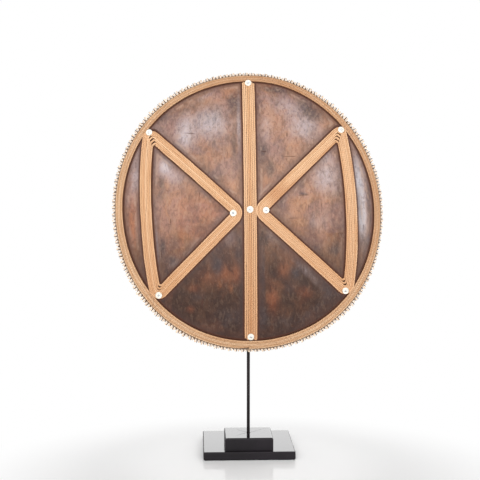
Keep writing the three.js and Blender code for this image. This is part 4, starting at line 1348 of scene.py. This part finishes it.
standLook = {
    "weld": 0.00002,            # m
    "bevelFrom": 40,            # degrees
    "bevelSegments": 3,
    # solids with softened edges: piece, slot, body, bevel in m
    "softened": {
        "socket_block": ("socketBlock", "block_wood", "shield", 0.0008),
        "base_board": ("baseBoard", "black_lacquer", "stand", 0.0009),
        "step_block": ("stepBlock", "black_lacquer", "stand", 0.0009)},
    # turned about the rod: piece, slot, body, sides, then inner, outer, low, high and bevel in mm
    "turned": {
        "stand_rod": ("standRod", "black_rod", "stand", 32, (0.02, 2.98, 1.8, 475, 0.5)),
        "stop_collar": ("stopCollar", "black_rod", "stand", 48, (3.1, 9, 400.4, 412.4, 0.9)),
        "swivel_washer": ("swivelWasher", "brass", "swivel", 48, (3.3, 12, 412.7, 414.7, 0.4))},
}


def softened(node, name, slot, body, width, look):
    # A merged copy of a solid, with its edges rounded by a bevel
    mesh = frame["nodes"][node].data.copy()
    mesh.materials.clear()
    mesh.materials.append(finishes[slot])
    piece = addObject(name, mesh)
    weld = piece.modifiers.new("weld", "WELD")
    weld.merge_threshold = look["weld"]
    bevel = piece.modifiers.new("bevel", "BEVEL")
    bevel.width = width
    bevel.segments = look["bevelSegments"]
    bevel.limit_method = "ANGLE"
    bevel.angle_limit = math.radians(look["bevelFrom"])
    dressed(piece, body, [node])


for node, settings in standLook["softened"].items():
    softened(node, *settings, standLook)
for node, (name, slot, body, sides, sizes) in standLook["turned"].items():
    profile = rounded(*sizes)
    if node != "stand_rod":
        profile += profile[:1]
    turnedPiece(name, profile, (0, -s["rodForward"], 0), (0, 0, 1), slot, body, node, sides)
print("stand dressed")

# Screws, nut, felt and what else keeps its solid's own shape
for row in frame["record"]["subparts"]:
    solid = frame["nodes"][row["node"]].data
    solid.materials.clear()
    solid.materials.append(finishes[row["material_slot"]])

# Stage


def whiteFloor():
    # White, polished round the stand, and fading to the background's white further off
    half = studio["floorSize"] / 2
    mesh = bpy.data.meshes.new("floor")
    corners = [(-half, -half, 0), (half, -half, 0), (half, half, 0), (-half, half, 0)]
    mesh.from_pydata(corners, [], [(0, 1, 2, 3)])
    piece = addObject("floor", mesh, (0, 0, -studio["floorDrop"]))
    r = Recipe("table")
    aside, near = [r.node("ShaderNodeVectorMath", {"operation": "DISTANCE"},
                          {0: r.place(), 1: studio[centre]}, output="Value")
                   for centre in ("floorCentre", "mirrorCentre")]
    r.surface(colour=studio["floorColour"], roughness=studio["floorRoughness"], gloss=0.0,
              coat=1 - near.rising(*studio["mirrorFade"]), coatIndex=studio["mirrorIndex"],
              coatRoughness=studio["mirrorRoughness"])
    white = r.node("ShaderNodeEmission", {}, {"Color": (255, 255, 255), "Strength": 1.0})
    fade = aside.rising(*studio["floorFade"])
    mixed = r.node("ShaderNodeMixShader", {}, {0: fade, 1: Wire(r, r.shader.outputs[0]), 2: white})
    r.feed(r.tree.nodes["Material Output"].inputs["Surface"], mixed)
    mesh.materials.append(r.made)


def softbox(name, place, aim, size, power):
    lamp = bpy.data.lights.new(name, "AREA")
    lamp.shape = "RECTANGLE"
    lamp.size, lamp.size_y = size
    lamp.energy = power
    turn = (Vector(aim) - Vector(place)).to_track_quat("-Z", "Y").to_euler()
    return addObject(name, lamp, place, turn)


def studioWorld():
    # White to the camera and in reflections, and dimmer as a light
    r = Recipe("studio", bpy.data.worlds, "Background")
    bpy.context.scene.world = r.made
    direct, mirrored, through = [r.node("ShaderNodeLightPath", output="Is %s Ray" % word)
                                 for word in ("Camera", "Glossy", "Transmission")]
    seen = direct.atLeast(mirrored).atLeast(through)
    r.feed(r.shader.inputs["Color"], (255, 255, 255))
    r.feed(r.shader.inputs["Strength"], r.node("ShaderNodeMapRange", {}, {
        "Value": seen, "To Min": studio["fill"], "To Max": 1.0}))


whiteFloor()
lamps = {name: softbox(name, *settings) for name, settings in studio["lights"].items()}
# the wide light behind only shows in the lacquer, and the hollow's light not at all there
lamps["back"].visible_diffuse = False
lamps["hollow"].visible_glossy = False
studioWorld()
print("stage set")
